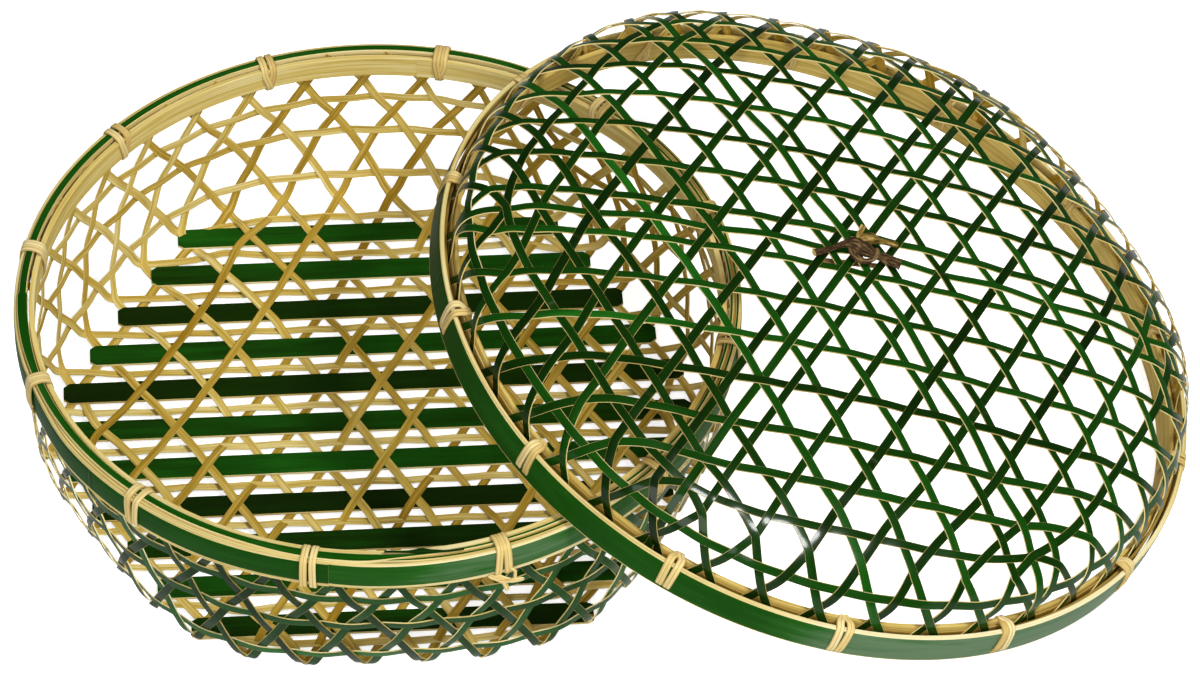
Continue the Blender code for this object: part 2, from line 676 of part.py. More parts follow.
def build_base():
    frame = Matrix.Identity(4)
    shell = Shell(BASE_PITCH, BASE_STRIPS, BASE_AZIMUTH, base_profile(), BASE_BLEND_SHARES, 1.0,
                  frame, BASE_RIM_SHARE, FLOOR_STEP, FLOOR_TOLERANCE)
    hoop("base_outer_hoop", BASE_OUTER_HOOP, HOOP_SEGMENTS, frame, GREEN_SKIN)
    hoop("base_inner_hoop", BASE_INNER_HOOP, HOOP_SEGMENTS, frame, PALE_BAMBOO)
    hoop("base_rim_cover", BASE_COVER, HOOP_SEGMENTS, frame, GREEN_DARK)
    half = BASE_STRIPS // 2
    offsets = [i + 0.5 for i in range(-half, half)]
    for family, label in enumerate("abc"):
        layer = 1 - family
        radius = BASE_RIM_RADIUS + layer * RIM_STEP
        weave_family("base_weave_" + label, shell, family, layer, offsets, BASE_BAND, radius,
                     PALE_BAMBOO)
    for i, level in enumerate(BASE_RING_SHARES):
        ring_strip("base_ring_strip_%d" % (i + 1), shell, level, HOOP_SEGMENTS, PALE_BAMBOO)
    for i in range(SLATS):
        slat("floor_slat_%02d" % (i + 1), i, shell)
    g = TIE_GAP
    q = TIE_GAP_INSIDE
    section = [
        (BASE_COVER[1] + g, BASE_COVER[3] + g),
        (BASE_OUTER_HOOP[1] + g, BASE_OUTER_HOOP[3] + g),
        (BASE_OUTER_HOOP[1] + g, BASE_OUTER_HOOP[2] - 2.0 * g),
        (BASE_OUTER_HOOP[0], BASE_OUTER_HOOP[2] - 2.0 * g),
        (BASE_INNER_HOOP[1], BASE_INNER_HOOP[2] - 2.0 * g),
        (BASE_INNER_HOOP[0] - q, BASE_INNER_HOOP[2] - 2.0 * g),
        (BASE_INNER_HOOP[0] - q, BASE_INNER_HOOP[3] + g),
        (BASE_COVER[0] - g, BASE_COVER[3] + g),
    ]
    widths = [TIE_WIDTH, TIE_WIDTH] + [TIE_WIDTH_LOW] * 4 + [TIE_WIDTH, TIE_WIDTH]
    for i in range(BASE_TIES):
        angle = math.radians(BASE_TIE_PHASE + 360.0 * i / BASE_TIES)
        tie("base_tie_%02d" % (i + 1), section, widths, angle, frame)


def handle(name, shares, height, radius, frame, colour):
    """One vine of the handle, from its path in shares of the handle's span."""
    path = [(x * HANDLE_SPAN, y * HANDLE_SPAN, height + z * HANDLE_SPAN) for x, y, z in shares]
    tube(name, path, radius, frame, colour)


def build_lid():
    frame = lid_frame()
    profile, rim_level = lid_profile()
    shell = Shell(LID_PITCH, LID_STRIPS, LID_AZIMUTH, profile, LID_BLEND_SHARES, -1.0, frame,
                  rim_level, DOME_STEP, DOME_TOLERANCE)
    hoop("lid_outer_hoop", LID_OUTER_HOOP, HOOP_SEGMENTS, frame, GREEN_SKIN)
    hoop("lid_inner_hoop", LID_INNER_HOOP, HOOP_SEGMENTS, frame, PALE_BAMBOO)
    hoop("lid_rim_cover", LID_COVER, HOOP_SEGMENTS, frame, GREEN_DARK)
    half = LID_STRIPS // 2
    offsets = sorted([i + 0.5 for i in range(-half, half)] + [0.0])
    band = (LID_SHOULDER, LID_BAND[0])
    for family, label in enumerate("abc"):
        layer = 1 - family
        radius = LID_RIM_RADIUS + layer * RIM_STEP
        weave_family("lid_weave_" + label, shell, family, layer, offsets, band, radius,
                     GREEN_SKIN)
    for i, level in enumerate(LID_RING_SHARES):
        ring_strip("lid_ring_strip_%d" % (i + 1), shell, level, HOOP_SEGMENTS, GREEN_SKIN)
    g = TIE_GAP
    q = TIE_GAP_INSIDE
    section = [
        (LID_OUTER_HOOP[1] + g, LID_OUTER_HOOP[2] - g),
        (LID_OUTER_HOOP[1] + g, LID_OUTER_HOOP[3] + g),
        (LID_OUTER_HOOP[0], LID_SHOULDER + 2.5 * g),
        (LID_INNER_HOOP[1], LID_INNER_HOOP[3] + g),
        (LID_INNER_HOOP[0] - q, LID_INNER_HOOP[3] + g),
        (LID_INNER_HOOP[0] - q, LID_INNER_HOOP[2] - g),
    ]
    widths = [TIE_WIDTH, TIE_WIDTH, TIE_WIDTH_LOW, TIE_WIDTH_LOW, TIE_WIDTH_LOW, TIE_WIDTH]
    for i in range(LID_TIES):
        angle = math.radians(LID_TIE_PHASE + 360.0 * i / LID_TIES)
        tie("lid_tie_%02d" % (i + 1), section, widths, angle, frame)
    apex = LID_SHOULDER + LID_DOME
    clear = DOME_STEP + STRIP_THICKNESS / 2.0 + HANDLE_GAP
    handle("handle_vine_dark", HANDLE_DARK_SHARES, apex + clear + VINE_RADIUS, VINE_RADIUS,
           frame, VINE_BROWN)
    handle("handle_loop", HANDLE_LOOP_SHARES, apex + clear + TAN_RADIUS, TAN_RADIUS, frame,
           VINE_BROWN)
    handle("handle_vine_tan", HANDLE_TAN_SHARES, apex + clear + TAN_RADIUS, TAN_RADIUS, frame,
           VINE_TAN)
    below = DOME_STEP + STRIP_THICKNESS / 2.0 + RING_GAP
    handle("handle_peg", HANDLE_PEG_SHARES, apex - below - PEG_RADIUS, PEG_RADIUS, frame,
           VINE_BROWN)


def centre_on_ground():
    """Move every piece so that the origin lies on the ground under the middle of the whole."""
    corners = [v.co for obj in bpy.data.objects for v in obj.data.vertices]
    low = [min(c[k] for c in corners) for k in range(3)]
    high = [max(c[k] for c in corners) for k in range(3)]
    middle = Vector(((low[0] + high[0]) / 2.0, (low[1] + high[1]) / 2.0, low[2]))
    for obj in bpy.data.objects:
        obj.data.transform(Matrix.Translation(-middle))


clear_scene()
build_base()
build_lid()
centre_on_ground()
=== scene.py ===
"""Zaru bamboo basket: finishes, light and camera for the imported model.

Every strip, slat, hoop and tie is a piece of its own, laid where its CAD node is. Levels are
distances from the middle of a weave, measured along it in strip pitches, and lifts are heights
over the weave's middle surface, along its outward normal. Units are metres, azimuths degrees.
"""
import math

import bpy
import numpy as np
from mathutils import Matrix, Vector

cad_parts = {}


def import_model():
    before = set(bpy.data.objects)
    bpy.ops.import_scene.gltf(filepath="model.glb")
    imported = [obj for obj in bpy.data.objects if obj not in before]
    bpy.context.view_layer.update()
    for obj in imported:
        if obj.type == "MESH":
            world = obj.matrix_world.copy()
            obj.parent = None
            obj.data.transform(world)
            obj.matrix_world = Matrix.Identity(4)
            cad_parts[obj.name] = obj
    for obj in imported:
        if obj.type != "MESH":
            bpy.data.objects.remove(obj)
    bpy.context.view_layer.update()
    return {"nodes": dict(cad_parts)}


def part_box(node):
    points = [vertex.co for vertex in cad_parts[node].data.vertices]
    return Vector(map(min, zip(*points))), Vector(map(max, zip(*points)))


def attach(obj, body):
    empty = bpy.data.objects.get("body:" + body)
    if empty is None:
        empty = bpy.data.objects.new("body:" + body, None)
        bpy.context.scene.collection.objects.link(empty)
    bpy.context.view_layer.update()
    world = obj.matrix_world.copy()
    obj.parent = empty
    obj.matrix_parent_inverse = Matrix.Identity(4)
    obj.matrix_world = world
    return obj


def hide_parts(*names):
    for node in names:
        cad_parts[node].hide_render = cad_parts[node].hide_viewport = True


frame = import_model()

SIN60 = math.sin(math.radians(60.0))
TAN60 = math.tan(math.radians(60.0))
TAU = 2.0 * math.pi
UP = (0.0, 0.0, 1.0)

# Split bamboo strips of both weaves
STRIP_WIDTH = 0.0048
STRIP_WIDTH_SHARES = (0.92, 1.07)  # narrowest and widest strip
STRIP_THICKNESS = 0.0007
STRIP_CROWN = 0.00008  # how far the middle of the skin stands up
STRIP_BEVEL = 0.00012
WEAVE_LIFT = 0.00040  # how far a strip passes over or under the middle surface
WALL_LIFT = 0.00055
RING_LIFT = 1.15 * WALL_LIFT
EXTRA_LIFT = 0.00120  # lift of the lid's three extra strips through the middle
WANDER = 0.0007  # how far a strip strays sideways from its line
SAMPLE = 0.09  # step along a strip, in pitches
# Shades of the strip families, 0 dark to 1 pale: along the slats, leaning left, leaning right.
# # The ranges are darker for some families, most for leaning right. That is painted shade for how
# # light falls on each family's tilt. Within its range each strip's shade is random.
BASE_TONES = ((0.58, 0.84), (0.40, 0.68), (0.10, 0.40))
LID_TONES = ((0.24, 0.66), (0.20, 0.66), (0.06, 0.44))
BASE_RING_TONES = (0.5, 0.7)
LID_RING_TONES = (0.4, 0.6)

# Base basket
BASE_RIM_RADIUS = 0.1940
BASE_HEIGHT = 0.1075
BASE_PITCH = 0.1536 * BASE_RIM_RADIUS
BASE_STRIPS = 12
BASE_AZIMUTH = 2.38
BASE_FLOOR = 0.0022  # middle surface of the floor's weave over the ground
# level, share of the rim radius, share of the height over the floor, and how much wider the
# hexagon's corners are than the mean, as a share
BASE_PROFILE_SHARES = (
    (0.00, 0.0000, 0.0000, 0.000), (1.50, 0.2304, 0.0000, 0.000), (3.00, 0.4608, 0.0000, 0.000),
    (4.50, 0.6912, 0.0000, 0.000), (5.00, 0.7727, 0.0010, 0.006), (5.50, 0.8620, 0.0040, 0.020),
    (5.75, 0.9105, 0.0070, 0.026), (6.00, 0.9472, 0.0160, 0.027), (6.20, 0.9603, 0.0450, 0.026),
    (6.50, 0.9722, 0.1400, 0.022), (7.00, 0.9845, 0.2810, 0.015), (7.50, 0.9933, 0.4230, 0.009),
    (8.00, 0.9969, 0.5370, 0.004), (8.50, 0.9990, 0.6450, 0.001), (9.00, 1.0000, 0.7760, 0.000),
    (9.90, 1.0000, 0.9764, 0.000),
)
BASE_RINGS = (6.5, 7.5, 8.5)
BASE_BLEND = (4.5, 6.0)  # levels where the floor's hexagon turns into a circle
BASE_WARP = (0.08, -0.045, 0.025)  # pitches that the floor's strips are aside: all, by x, by y
WARP_LEVELS = (6.0, 3.2)  # where that starts and where it is whole
BASE_TIES = 12
BASE_TIE_PHASE = 168.9
BASE_OUTER_HOOP = (0.1985, 0.2004, 0.0872, 0.1057)  # inner and outer radius, bottom and top
BASE_INNER_HOOP = (0.1890, 0.1921, 0.0913, 0.1050)
BASE_COVER = (0.1934, 0.1977, 0.1050, 0.1073)
BASE_LINER = (0.1950, 0.1972, 0.0902, 0.1054)
BASE_LAP = (262.0, 60.0)  # azimuth of the hoop's end that is seen, and the length of its lap
BASE_INNER_LAP = (83.0, 16.0)
BASE_PAINTED_SHEEN = (0.42, 0.74, (264.0, 290.0, 330.0, 352.0))  # shades without and with the painted grey-green sheen, a painted reflection, and the azimuths where it shows
BASE_EDGES = (0.0026, 0.0009)
BASE_TAPER = math.radians(13.0)

# Green strips on top of the base's rim. Four azimuths say where a stretch of them starts, is
# whole, starts to end and ends: with two strips, with one that is broad, and at the far side.
TWO_STRIPS = (268.0, 277.0, 412.0, 428.0)
BROAD_STRIP = (246.0, 260.0, 266.0, 272.0)
FAR_STRIP = (70.0, 84.0, 186.0, 200.0)
# name, shade, number and seed, then inner edge, outer edge and top, each with its moves
TOP_STRIPS = (
    ("base_top_strip_inner", 0.52, 303, 332, (0.1934, (-0.0009, FAR_STRIP)),
     (0.1977, (0.0012, BROAD_STRIP), (-0.0024, TWO_STRIPS), (0.0007, FAR_STRIP)),
     (0.1073, (-0.0006, TWO_STRIPS))),
    ("base_top_strip_outer", 0.42, 307, 333, (0.1962, (0.0006, TWO_STRIPS)),
     (0.1973, (0.0013, TWO_STRIPS)), (0.1061, (0.0006, TWO_STRIPS))),
)
TOP_STRIPS_LOW = 0.1040  # how far down they reach between the hoops
COVER_UNEVEN = 0.00025
COVER_ROUGH = 0.0002
NODE_AZIMUTHS = (270.5, 283.0)  # the cane's node where the strip divides
NODE_SECTION = (0.0026, 0.0011, 0.0004)
NODE_START = 0.0016  # how far inside the cover it starts, and how far out it crosses
NODE_CROSS = 0.0034
NODE_BASE = 0.0001  # how far over the cover it lies, and how much more in its middle
NODE_RISE = 0.0004

# Slats on the floor of the base
SLATS = 11
SLAT_WIDTH = 0.0152
SLAT_THICKNESS = 0.0012
SLAT_CROWN = 0.00015
SLAT_BEVEL = 0.0002
SLAT_REACH = 5.70  # level where the slats stop
SLAT_HALF = 5.90  # half the length of the longest slats, in pitches
SLAT_CHAMFER = 0.0035
SLAT_LIFT = 0.0009  # how far a slat lies inside the weave's middle surface
CROSSING_RISE = 0.00235  # how far a crossing that lies over a slat is lifted
CROSSING_SINK = 0.00050
CROSSING_EASE = (0.84, 0.31)  # pitches from the slat's middle, where that starts and is whole
# crossings that lie over each slat, counted from the middle of the slat, near the camera last
SLAT_CROSSINGS = (
    (-2, -1, 1, 2), (-2.5, -1.5, 1.5, 2.5), (-3, -2, 1, 2), (-3.5, -2.5, -0.5, 0.5, 2.5, 3.5),
    (-4, -3, 0, 3, 4), (-4.5, -3.5, -0.5, 0.5, 3.5, 4.5), (-4, -3, 0, 3, 4),
    (-3.5, -2.5, -0.5, 0.5, 2.5, 3.5), (-3, -2, 2, 3), (-1.5, -0.5, 1.5, 2.5), (-2, -1, 1, 2),
)
SLAT_TONES = (0.60, 0.58, 0.32, 0.60, 0.27, 0.46, 0.68, 0.28, 0.38, 0.56, 0.44)
SLAT_END_STRAY = 0.0015  # unevenness of the slats' ends, places and directions
SLAT_STRAY = 0.0006
SLAT_SKEW = 0.003

# Lid
LID_RIM_RADIUS = 0.2148
LID_PITCH = 0.1341 * LID_RIM_RADIUS
LID_STRIPS = 14
LID_AZIMUTH = 0.8
LID_SHOULDER = 0.0200
LID_DOME = 0.0560
LID_FLATNESS = 3.0
LID_RINGS = (7.5,)
LID_BLEND = (4.5, 7.2)
LID_CORNER = 0.026  # how much wider the dome is at the hexagon's corners
LID_CORNER_LEVELS = (5.2, 6.5, 1.6)  # where that starts and is whole, and its run-out
LID_PUSH = 0.14  # pitches that the lid's strips sit closer to the rim at its front
PUSH_AZIMUTH = 287.0  # azimuth at which that is most
PUSH_LEVELS = (1.0, 5.5, 1.3)  # where it starts and is whole, and its run-out before the rim
LID_TIES = 14
LID_TIE_PHASE = 168.1
LID_OUTER_HOOP = (0.2184, 0.2211, 0.0000, 0.0190)
LID_INNER_HOOP = (0.2106, 0.2130, 0.0000, 0.0188)
LID_COVER = (0.2127, 0.2169, 0.0007, 0.0019)
LID_BAND_LOW = 0.0024
LID_OUTER_LINER = (0.2158, 0.2174, LID_BAND_LOW, 0.0154)
LID_INNER_LINER = (0.2134, 0.2144, LID_BAND_LOW, 0.0168)
LID_LAP = (91.0, 16.0)
LID_INNER_LAP = (146.0, 16.0)
LID_COVER_LAP = (208.0, 8.0)
# the lid hoop's shades without and with the painted grey-green sheen, a painted reflection, and the
# azimuths where it shows
LID_PAINTED_SHEEN = (0.44, 0.92, (254.0, 274.0, 322.0, 350.0))
LID_EDGES = (0.0005, 0.0008)

# Hoops and bands
LAP_STEP = 0.00035  # thickness left at the tip of a hoop's end
LAP_SINK = 0.0008  # how far a hoop with a thick lap is pressed in along it
LAP_EASE = 0.03  # angle over which a hoop comes back in line past the tip
HOOP_BEVEL = 0.0003
HOOP_CROWN = 0.0003
HOOP_ROUGH = 0.00035
HOOP_EDGES = (0.0004, 0.0004)
BAND_BEVEL = 0.00035
LINER_ROUGH = 0.0004
LINER_FRAY = 0.00015

# Rattan ties
WRAP_WIDTH = 0.0044
WRAP_THICKNESS = 0.0008
WRAP_APART = 0.0025
WRAP_OVER = 0.00045  # how far the second turn lies over the first where they meet
WRAP_STEP = 0.0012
WRAP_LEAN = 0.0012
WRAP_TWIST = 0.06  # metres aside for each metre of height
# painted shade round a wrap's section: where its middle crease is, then where its darkened sides start
# and are whole from there
WRAP_SHADE_LINES = (0.00275, 0.0016, 0.0021)
CREASE = (0.00032, 0.00012)  # where the painted shade line along the middle crease starts and is whole
TIE_GAP = 0.00035
BASE_PINCH = ((0.104, 0.092), (0.196, 0.189))  # heights and radii where two turns come together
LID_PINCH = ((0.004, 0.018), (0.2175, 0.2105))
TAIL_TIE = 4  # number of the tie with loose tails, from 0
TAIL_LIFT = 0.0004
# name, number and width, then spots: distance round the rim, height over the hoop's bottom, lift
TAILS = (
    ("tie_tail_1", 331, 0.0030,
     ((-0.0085, 0.0012, 0.0006), (-0.0045, -0.0020, 0.0010), (-0.0005, -0.0055, 0.0014),
      (0.0010, -0.0095, 0.0012), (0.0022, -0.0140, 0.0008))),
    ("tie_tail_2", 332, 0.0034,
     ((-0.0040, -0.0006, 0.0002), (0.0000, -0.0040, 0.0008), (0.0050, -0.0060, 0.0020),
      (0.0105, -0.0055, 0.0032))),
    ("tie_tail_3", 333, 0.0020,
     ((0.0035, 0.0040, 0.0012), (0.0058, 0.0010, 0.0022), (0.0056, -0.0030, 0.0024),
      (0.0015, -0.0052, 0.0022), (-0.0035, -0.0034, 0.0016))),
)

# Camera that the photograph was taken with, from the middle of the base on the ground
CAMERA_PLACE = (0.0, -2.28193, 2.45139)
CAMERA_YAW = 3.08358
CAMERA_PITCH = -46.21468
CAMERA_ROLL = 1.68697
CAMERA_LENS = 178.04
SENSOR_WIDTH = 36.0
CAMERA_CLIP = (0.1, 50.0)

# Light: name, place, size and power of each lamp, and whether gloss shows it
LAMPS = (("top", (0.94, -0.79, 2.30), 0.5, 43.0, True), ("front", (-0.6, -2.6, 1.9), 2.0, 50.0, True),
         ("back", (1.9, 1.8, 2.0), 0.7, 7.0, False))
LAMP_TARGET = (0.0, 0.0, 0.05)
FLOOR_HALF = 14.0
FLOOR_DROP = 0.0005
FLOOR_WHITE = 0.86
FLOOR_ROUGHNESS = 0.9
FLOOR_GLOW = 0.76
GLOSSY_GLOW = 0.06  # share of that glow that glossy surfaces see
WORLD_LIGHT = 0.16
GLOSSY_WORLD = 0.4  # share of that light that glossy surfaces see


# Shader helpers

RUN = "run"  # u along a strip, v across it, in metres
TONE = "tone"  # u the piece's own shade from 0 to 1, which also holds the hoops' painted sheen and the strip families' painted shade, v its number


class Shader:
    """Node tree of a material or the world, with short calls for the nodes used here."""

    def __init__(self, owner, main):
        owner.use_nodes = True
        self.owner = owner
        self.tree = owner.node_tree
        self.main = self.tree.nodes.get(main)

    def feed(self, node, inputs):
        for key, value in inputs.items():
            if isinstance(value, bpy.types.NodeSocket):
                self.tree.links.new(value, node.inputs[key])
            else:
                node.inputs[key].default_value = value

    def finished(self, inputs):
        self.feed(self.main, inputs)
        return self.owner

    def add(self, kind, inputs, output=0, **settings):
        """One output of a new node with these inputs and settings."""
        made = self.tree.nodes.new(kind)
        for key, value in settings.items():
            setattr(made, key, value)
        self.feed(made, inputs)
        return made.outputs[output]

    def math(self, operation, a, b=0.0):
        return self.add("ShaderNodeMath", {0: a, 1: b}, operation=operation)

    def uv(self, layer, axis):
        coordinates = self.add("ShaderNodeUVMap", {}, uv_map=layer)
        return self.add("ShaderNodeSeparateXYZ", {0: coordinates}, axis)

    def ramp(self, value, stops):
        colour = self.add("ShaderNodeValToRGB", {"Fac": value})
        elements = colour.node.color_ramp.elements
        while len(elements) < len(stops):
            elements.new(0.5)
        for element, (place_at, tint) in zip(elements, stops):
            element.position = place_at
            element.color = (*tint, 1.0)
        return colour

    def span(self, value, low, high, to_low=0.0, to_high=1.0):
        return self.add("ShaderNodeMapRange", {0: value, 1: low, 2: high, 3: to_low, 4: to_high})

    def stain(self, colour, mask, share, tint):
        """The colour with a share of a tint where the mask is one."""
        return self.add("ShaderNodeMix", {0: self.math("MULTIPLY", mask, share), 6: colour,
                                          7: (*tint, 1.0)}, 2, data_type="RGBA")

    def bump(self, height, distance, strength=1.0, **under):
        return self.add("ShaderNodeBump", {"Height": height, "Distance": distance,
                                           "Strength": strength, **under})

    def ray(self, kind):
        return self.add("ShaderNodeLightPath", {}, kind)


def surface_shader(name):
    return Shader(bpy.data.materials.new(name), "Principled BSDF")


def grain(shader, along, across):
    """Noise drawn out along the piece: cycles per metre along and across it."""
    vector = shader.add("ShaderNodeCombineXYZ", {0: shader.math("MULTIPLY", shader.uv(RUN, 0), along),
                                                 1: shader.math("MULTIPLY", shader.uv(RUN, 1), across),
                                                 2: shader.math("MULTIPLY", shader.uv(TONE, 1), 3.17)})
    return shader.add("ShaderNodeTexNoise", {"Vector": vector, "Scale": 1.0, "Detail": 3.0,
                                             "Roughness": 0.55}, "Fac")


def layered(shader, *layers):
    """The piece's own shade and noise: each layer's noise, the span of it that counts, its swing."""
    shade = shader.uv(TONE, 0)
    for noise, low, high, swing in layers:
        shade = shader.math("ADD", shade, shader.span(noise, low, high, -swing, swing))
    return shade


def joints_of_cane(shader, apart):
    """One where a joint of the bamboo cane crosses the piece, zero elsewhere."""
    joint = shader.math("ADD", shader.math("DIVIDE", shader.uv(RUN, 0), apart),
                        shader.math("MULTIPLY", shader.uv(TONE, 1), 0.37))
    near = shader.math("ABSOLUTE", shader.math("SUBTRACT", shader.math("FRACT", joint), 0.5))
    return shader.span(near, JOINT_HALF / apart, 0.25 * JOINT_HALF / apart)


def green_skin(name, stops, roughness, gloss, joint_apart=None, wax=0.0):
    """Outer skin of the cane: green, satin, with fine fibres and the cane's joints."""
    shader = surface_shader(name)
    fibre = grain(shader, 45.0, 2600.0)
    mottle = grain(shader, 22.0, 260.0)
    shade = layered(shader, (grain(shader, 5.0, 20.0), 0.3, 0.7, 0.16), (mottle, 0.3, 0.7, 0.10),
                    (fibre, 0.25, 0.75, 0.07))
    colour = shader.ramp(shade, stops)
    bump = shader.bump(fibre, FIBRE_RELIEF)
    if joint_apart:
        joint = joints_of_cane(shader, joint_apart)
        colour = shader.stain(colour, joint, 0.4, JOINT_TINT)
        bump = shader.bump(joint, JOINT_RELIEF, Normal=bump)
    colour = shader.stain(colour, shader.span(grain(shader, 160.0, 900.0), 0.70, 0.78), 0.25, SKIN_FLECK)
    return shader.finished({
        "Base Color": colour, "Specular IOR Level": gloss, "Normal": bump,
        "Roughness": shader.span(mottle, 0.2, 0.8, roughness - 0.06, roughness + 0.08),
        "Coat Weight": wax, "Coat Roughness": COAT_ROUGHNESS, "Coat IOR": COAT_IOR})


def pale_bamboo(name, stops, roughness, streak=1.0, fine=1.0, lines=None):
    """Split inner wood of the cane: pale, with long fibres. With lines, dark lines of painted shade
    run along the piece at its middle crease and its sides."""
    shader = surface_shader(name)
    fibre = grain(shader, 22.0, 1150.0 * fine)
    shade = layered(shader, (fibre, 0.25, 0.75, 0.22 * streak),
                    (grain(shader, 9.0, 460.0 * fine), 0.3, 0.7, 0.16 * streak),
                    (grain(shader, 6.0, 30.0), 0.3, 0.7, 0.12))
    colour = shader.ramp(shade, stops)
    colour = shader.stain(colour, shader.span(grain(shader, 60.0, 2400.0), 0.66, 0.76), 0.45, WOOD_FLECK)
    if lines:
        across = shader.math("ABSOLUTE", shader.math("SUBTRACT", shader.uv(RUN, 1), lines[0]))
        crease = shader.math("MAXIMUM", shader.span(across, *CREASE), shader.span(across, *lines[1:]))
        # painted shade in the middle crease and along the sides
        colour = shader.stain(colour, crease, 0.55, CREASE_SHADE_TINT)
    return shader.finished({"Base Color": colour, "Roughness": roughness,
                            "Specular IOR Level": WOOD_GLOSS,
                            "Normal": shader.bump(fibre, WOOD_RELIEF)})


def bark(name, stops, roughness):
    """Bark of the vine: knobbly, streaked along it."""
    shader = surface_shader(name)
    streaks = grain(shader, 120.0, 900.0)
    lumps = grain(shader, 260.0, 300.0)
    shade = layered(shader, (streaks, 0.3, 0.7, 0.38), (lumps, 0.3, 0.7, 0.25))
    bump = shader.bump(lumps, LUMP_RELIEF, 0.8, Normal=shader.bump(streaks, STREAK_RELIEF))
    return shader.finished({"Base Color": shader.ramp(shade, stops), "Roughness": roughness,
                            "Specular IOR Level": BARK_GLOSS, "Normal": bump})


# Materials

COAT_ROUGHNESS = 0.13  # of the wax on the strips
COAT_IOR = 1.35
WOOD_GLOSS = 0.06
BARK_GLOSS = 0.15
JOINT_HALF = 0.0016  # half the width of a joint of the cane
FIBRE_RELIEF = 0.00005
JOINT_RELIEF = 0.00030
WOOD_RELIEF = 0.00010
STREAK_RELIEF = 0.0006
LUMP_RELIEF = 0.0005
JOINT_TINT = (0.03, 0.035, 0.008)
SKIN_FLECK = (0.16, 0.17, 0.04)
WOOD_FLECK = (0.26, 0.14, 0.03)
# colour of the painted shade in a wrap's middle crease and along its sides
CREASE_SHADE_TINT = (0.33, 0.19, 0.05)
STRIP_GREENS = ((0.0, (0.0025, 0.013, 0.0004)), (0.35, (0.0045, 0.032, 0.0010)),
                (0.65, (0.0070, 0.068, 0.0030)), (1.0, (0.0170, 0.170, 0.0100)))
# the top end of the hoop greens is the grey-green of the hoops' painted sheen, a painted reflection
HOOP_GREENS = ((0.0, (0.004, 0.028, 0.001)), (0.45, (0.007, 0.068, 0.002)),
               (0.70, (0.016, 0.105, 0.009)), (1.0, (0.120, 0.205, 0.105)))
SLAT_GREENS = ((0.0, (0.0055, 0.014, 0.001)), (0.4, (0.0070, 0.029, 0.0015)),
               (0.7, (0.0085, 0.080, 0.004)), (1.0, (0.018, 0.150, 0.010)))
PALES = ((0.0, (0.32, 0.185, 0.012)), (0.35, (0.475, 0.31, 0.042)),
         (0.65, (0.63, 0.455, 0.100)), (1.0, (0.82, 0.69, 0.290)))
HOOP_PALES = ((0.0, (0.40, 0.25, 0.035)), (0.5, (0.70, 0.53, 0.15)), (1.0, (0.90, 0.82, 0.47)))
EDGE_PALES = ((0.0, (0.36, 0.23, 0.045)), (0.5, (0.73, 0.59, 0.23)), (1.0, (0.90, 0.82, 0.50)))
RATTANS = ((0.0, (0.48, 0.30, 0.08)), (0.5, (0.76, 0.57, 0.20)), (1.0, (0.92, 0.79, 0.43)))
BROWNS = ((0.0, (0.007, 0.003, 0.001)), (0.5, (0.048, 0.024, 0.008)), (1.0, (0.22, 0.14, 0.055)))
GOLDS = ((0.0, (0.035, 0.018, 0.002)), (0.5, (0.23, 0.14, 0.022)), (1.0, (0.68, 0.53, 0.19)))

STRIP_SKIN = green_skin("strip_skin", STRIP_GREENS, 0.34, 0.05, 0.36, 0.5)
HOOP_SKIN = green_skin("hoop_skin", HOOP_GREENS, 0.36, 0.04, 0.42)
SLAT_SKIN = green_skin("slat_skin", SLAT_GREENS, 0.42, 0.05)
STRIP_BACK = pale_bamboo("strip_back", PALES, 0.6, 1.5, 0.85)
CUT_EDGE = pale_bamboo("cut_edge", EDGE_PALES, 0.6, 1.2, 1.7)
HOOP_WOOD = pale_bamboo("hoop_wood", HOOP_PALES, 0.55, 1.1)
RATTAN_PEEL = pale_bamboo("rattan_peel", RATTANS, 0.42, 0.9, 1.2, WRAP_SHADE_LINES)
VINE_BROWN = bark("vine_brown", BROWNS, 0.75)
VINE_GOLD = bark("vine_gold", GOLDS, 0.5)
VINE_END = pale_bamboo("vine_end", RATTANS, 0.7)

# Finishes: materials, the number of the one on each side of the section, and the slot
STRIP_SIDES = (1, 1, 0, 0, 0, 1, 1, 2)
STRIP_FINISHES = {"base": ((STRIP_SKIN, CUT_EDGE, STRIP_BACK), STRIP_SIDES, "bamboo_strip"),
                  "lid": ((STRIP_SKIN, CUT_EDGE, STRIP_BACK), STRIP_SIDES, "bamboo_green")}
SLAT_FINISH = ((SLAT_SKIN, CUT_EDGE, STRIP_BACK), STRIP_SIDES, "bamboo_slat")
GREEN_HOOP = ((HOOP_SKIN, CUT_EDGE, HOOP_WOOD), (2, 2, 1, 1, 0, 0, 0, 1, 1, 1), "bamboo_green")
PALE_HOOP = ((HOOP_WOOD, CUT_EDGE), (0,) * 10, "bamboo_pale")
MOUTH_STRIP = ((HOOP_SKIN, CUT_EDGE), (1, 1, 1, 1, 1, 0, 0, 0, 0, 0), "bamboo_green")
LINER = ((HOOP_WOOD, CUT_EDGE), (0, 1, 1, 1, 0, 0), "bamboo_pale")
COVER = ((HOOP_SKIN, CUT_EDGE), (1, 1, 0, 1, 1, 1), "bamboo_green")
CANE_NODE = ((HOOP_SKIN, CUT_EDGE), (0, 0, 0, 0, 0, 0, 0, 1), "bamboo_green")
RATTAN = ((RATTAN_PEEL,), (0,) * 9, "rattan")
BROWN_VINE = ((VINE_BROWN, VINE_END), (0,) * 14, "vine_brown")
GOLD_VINE = ((VINE_GOLD, VINE_END), (0,) * 14, "vine_tan")

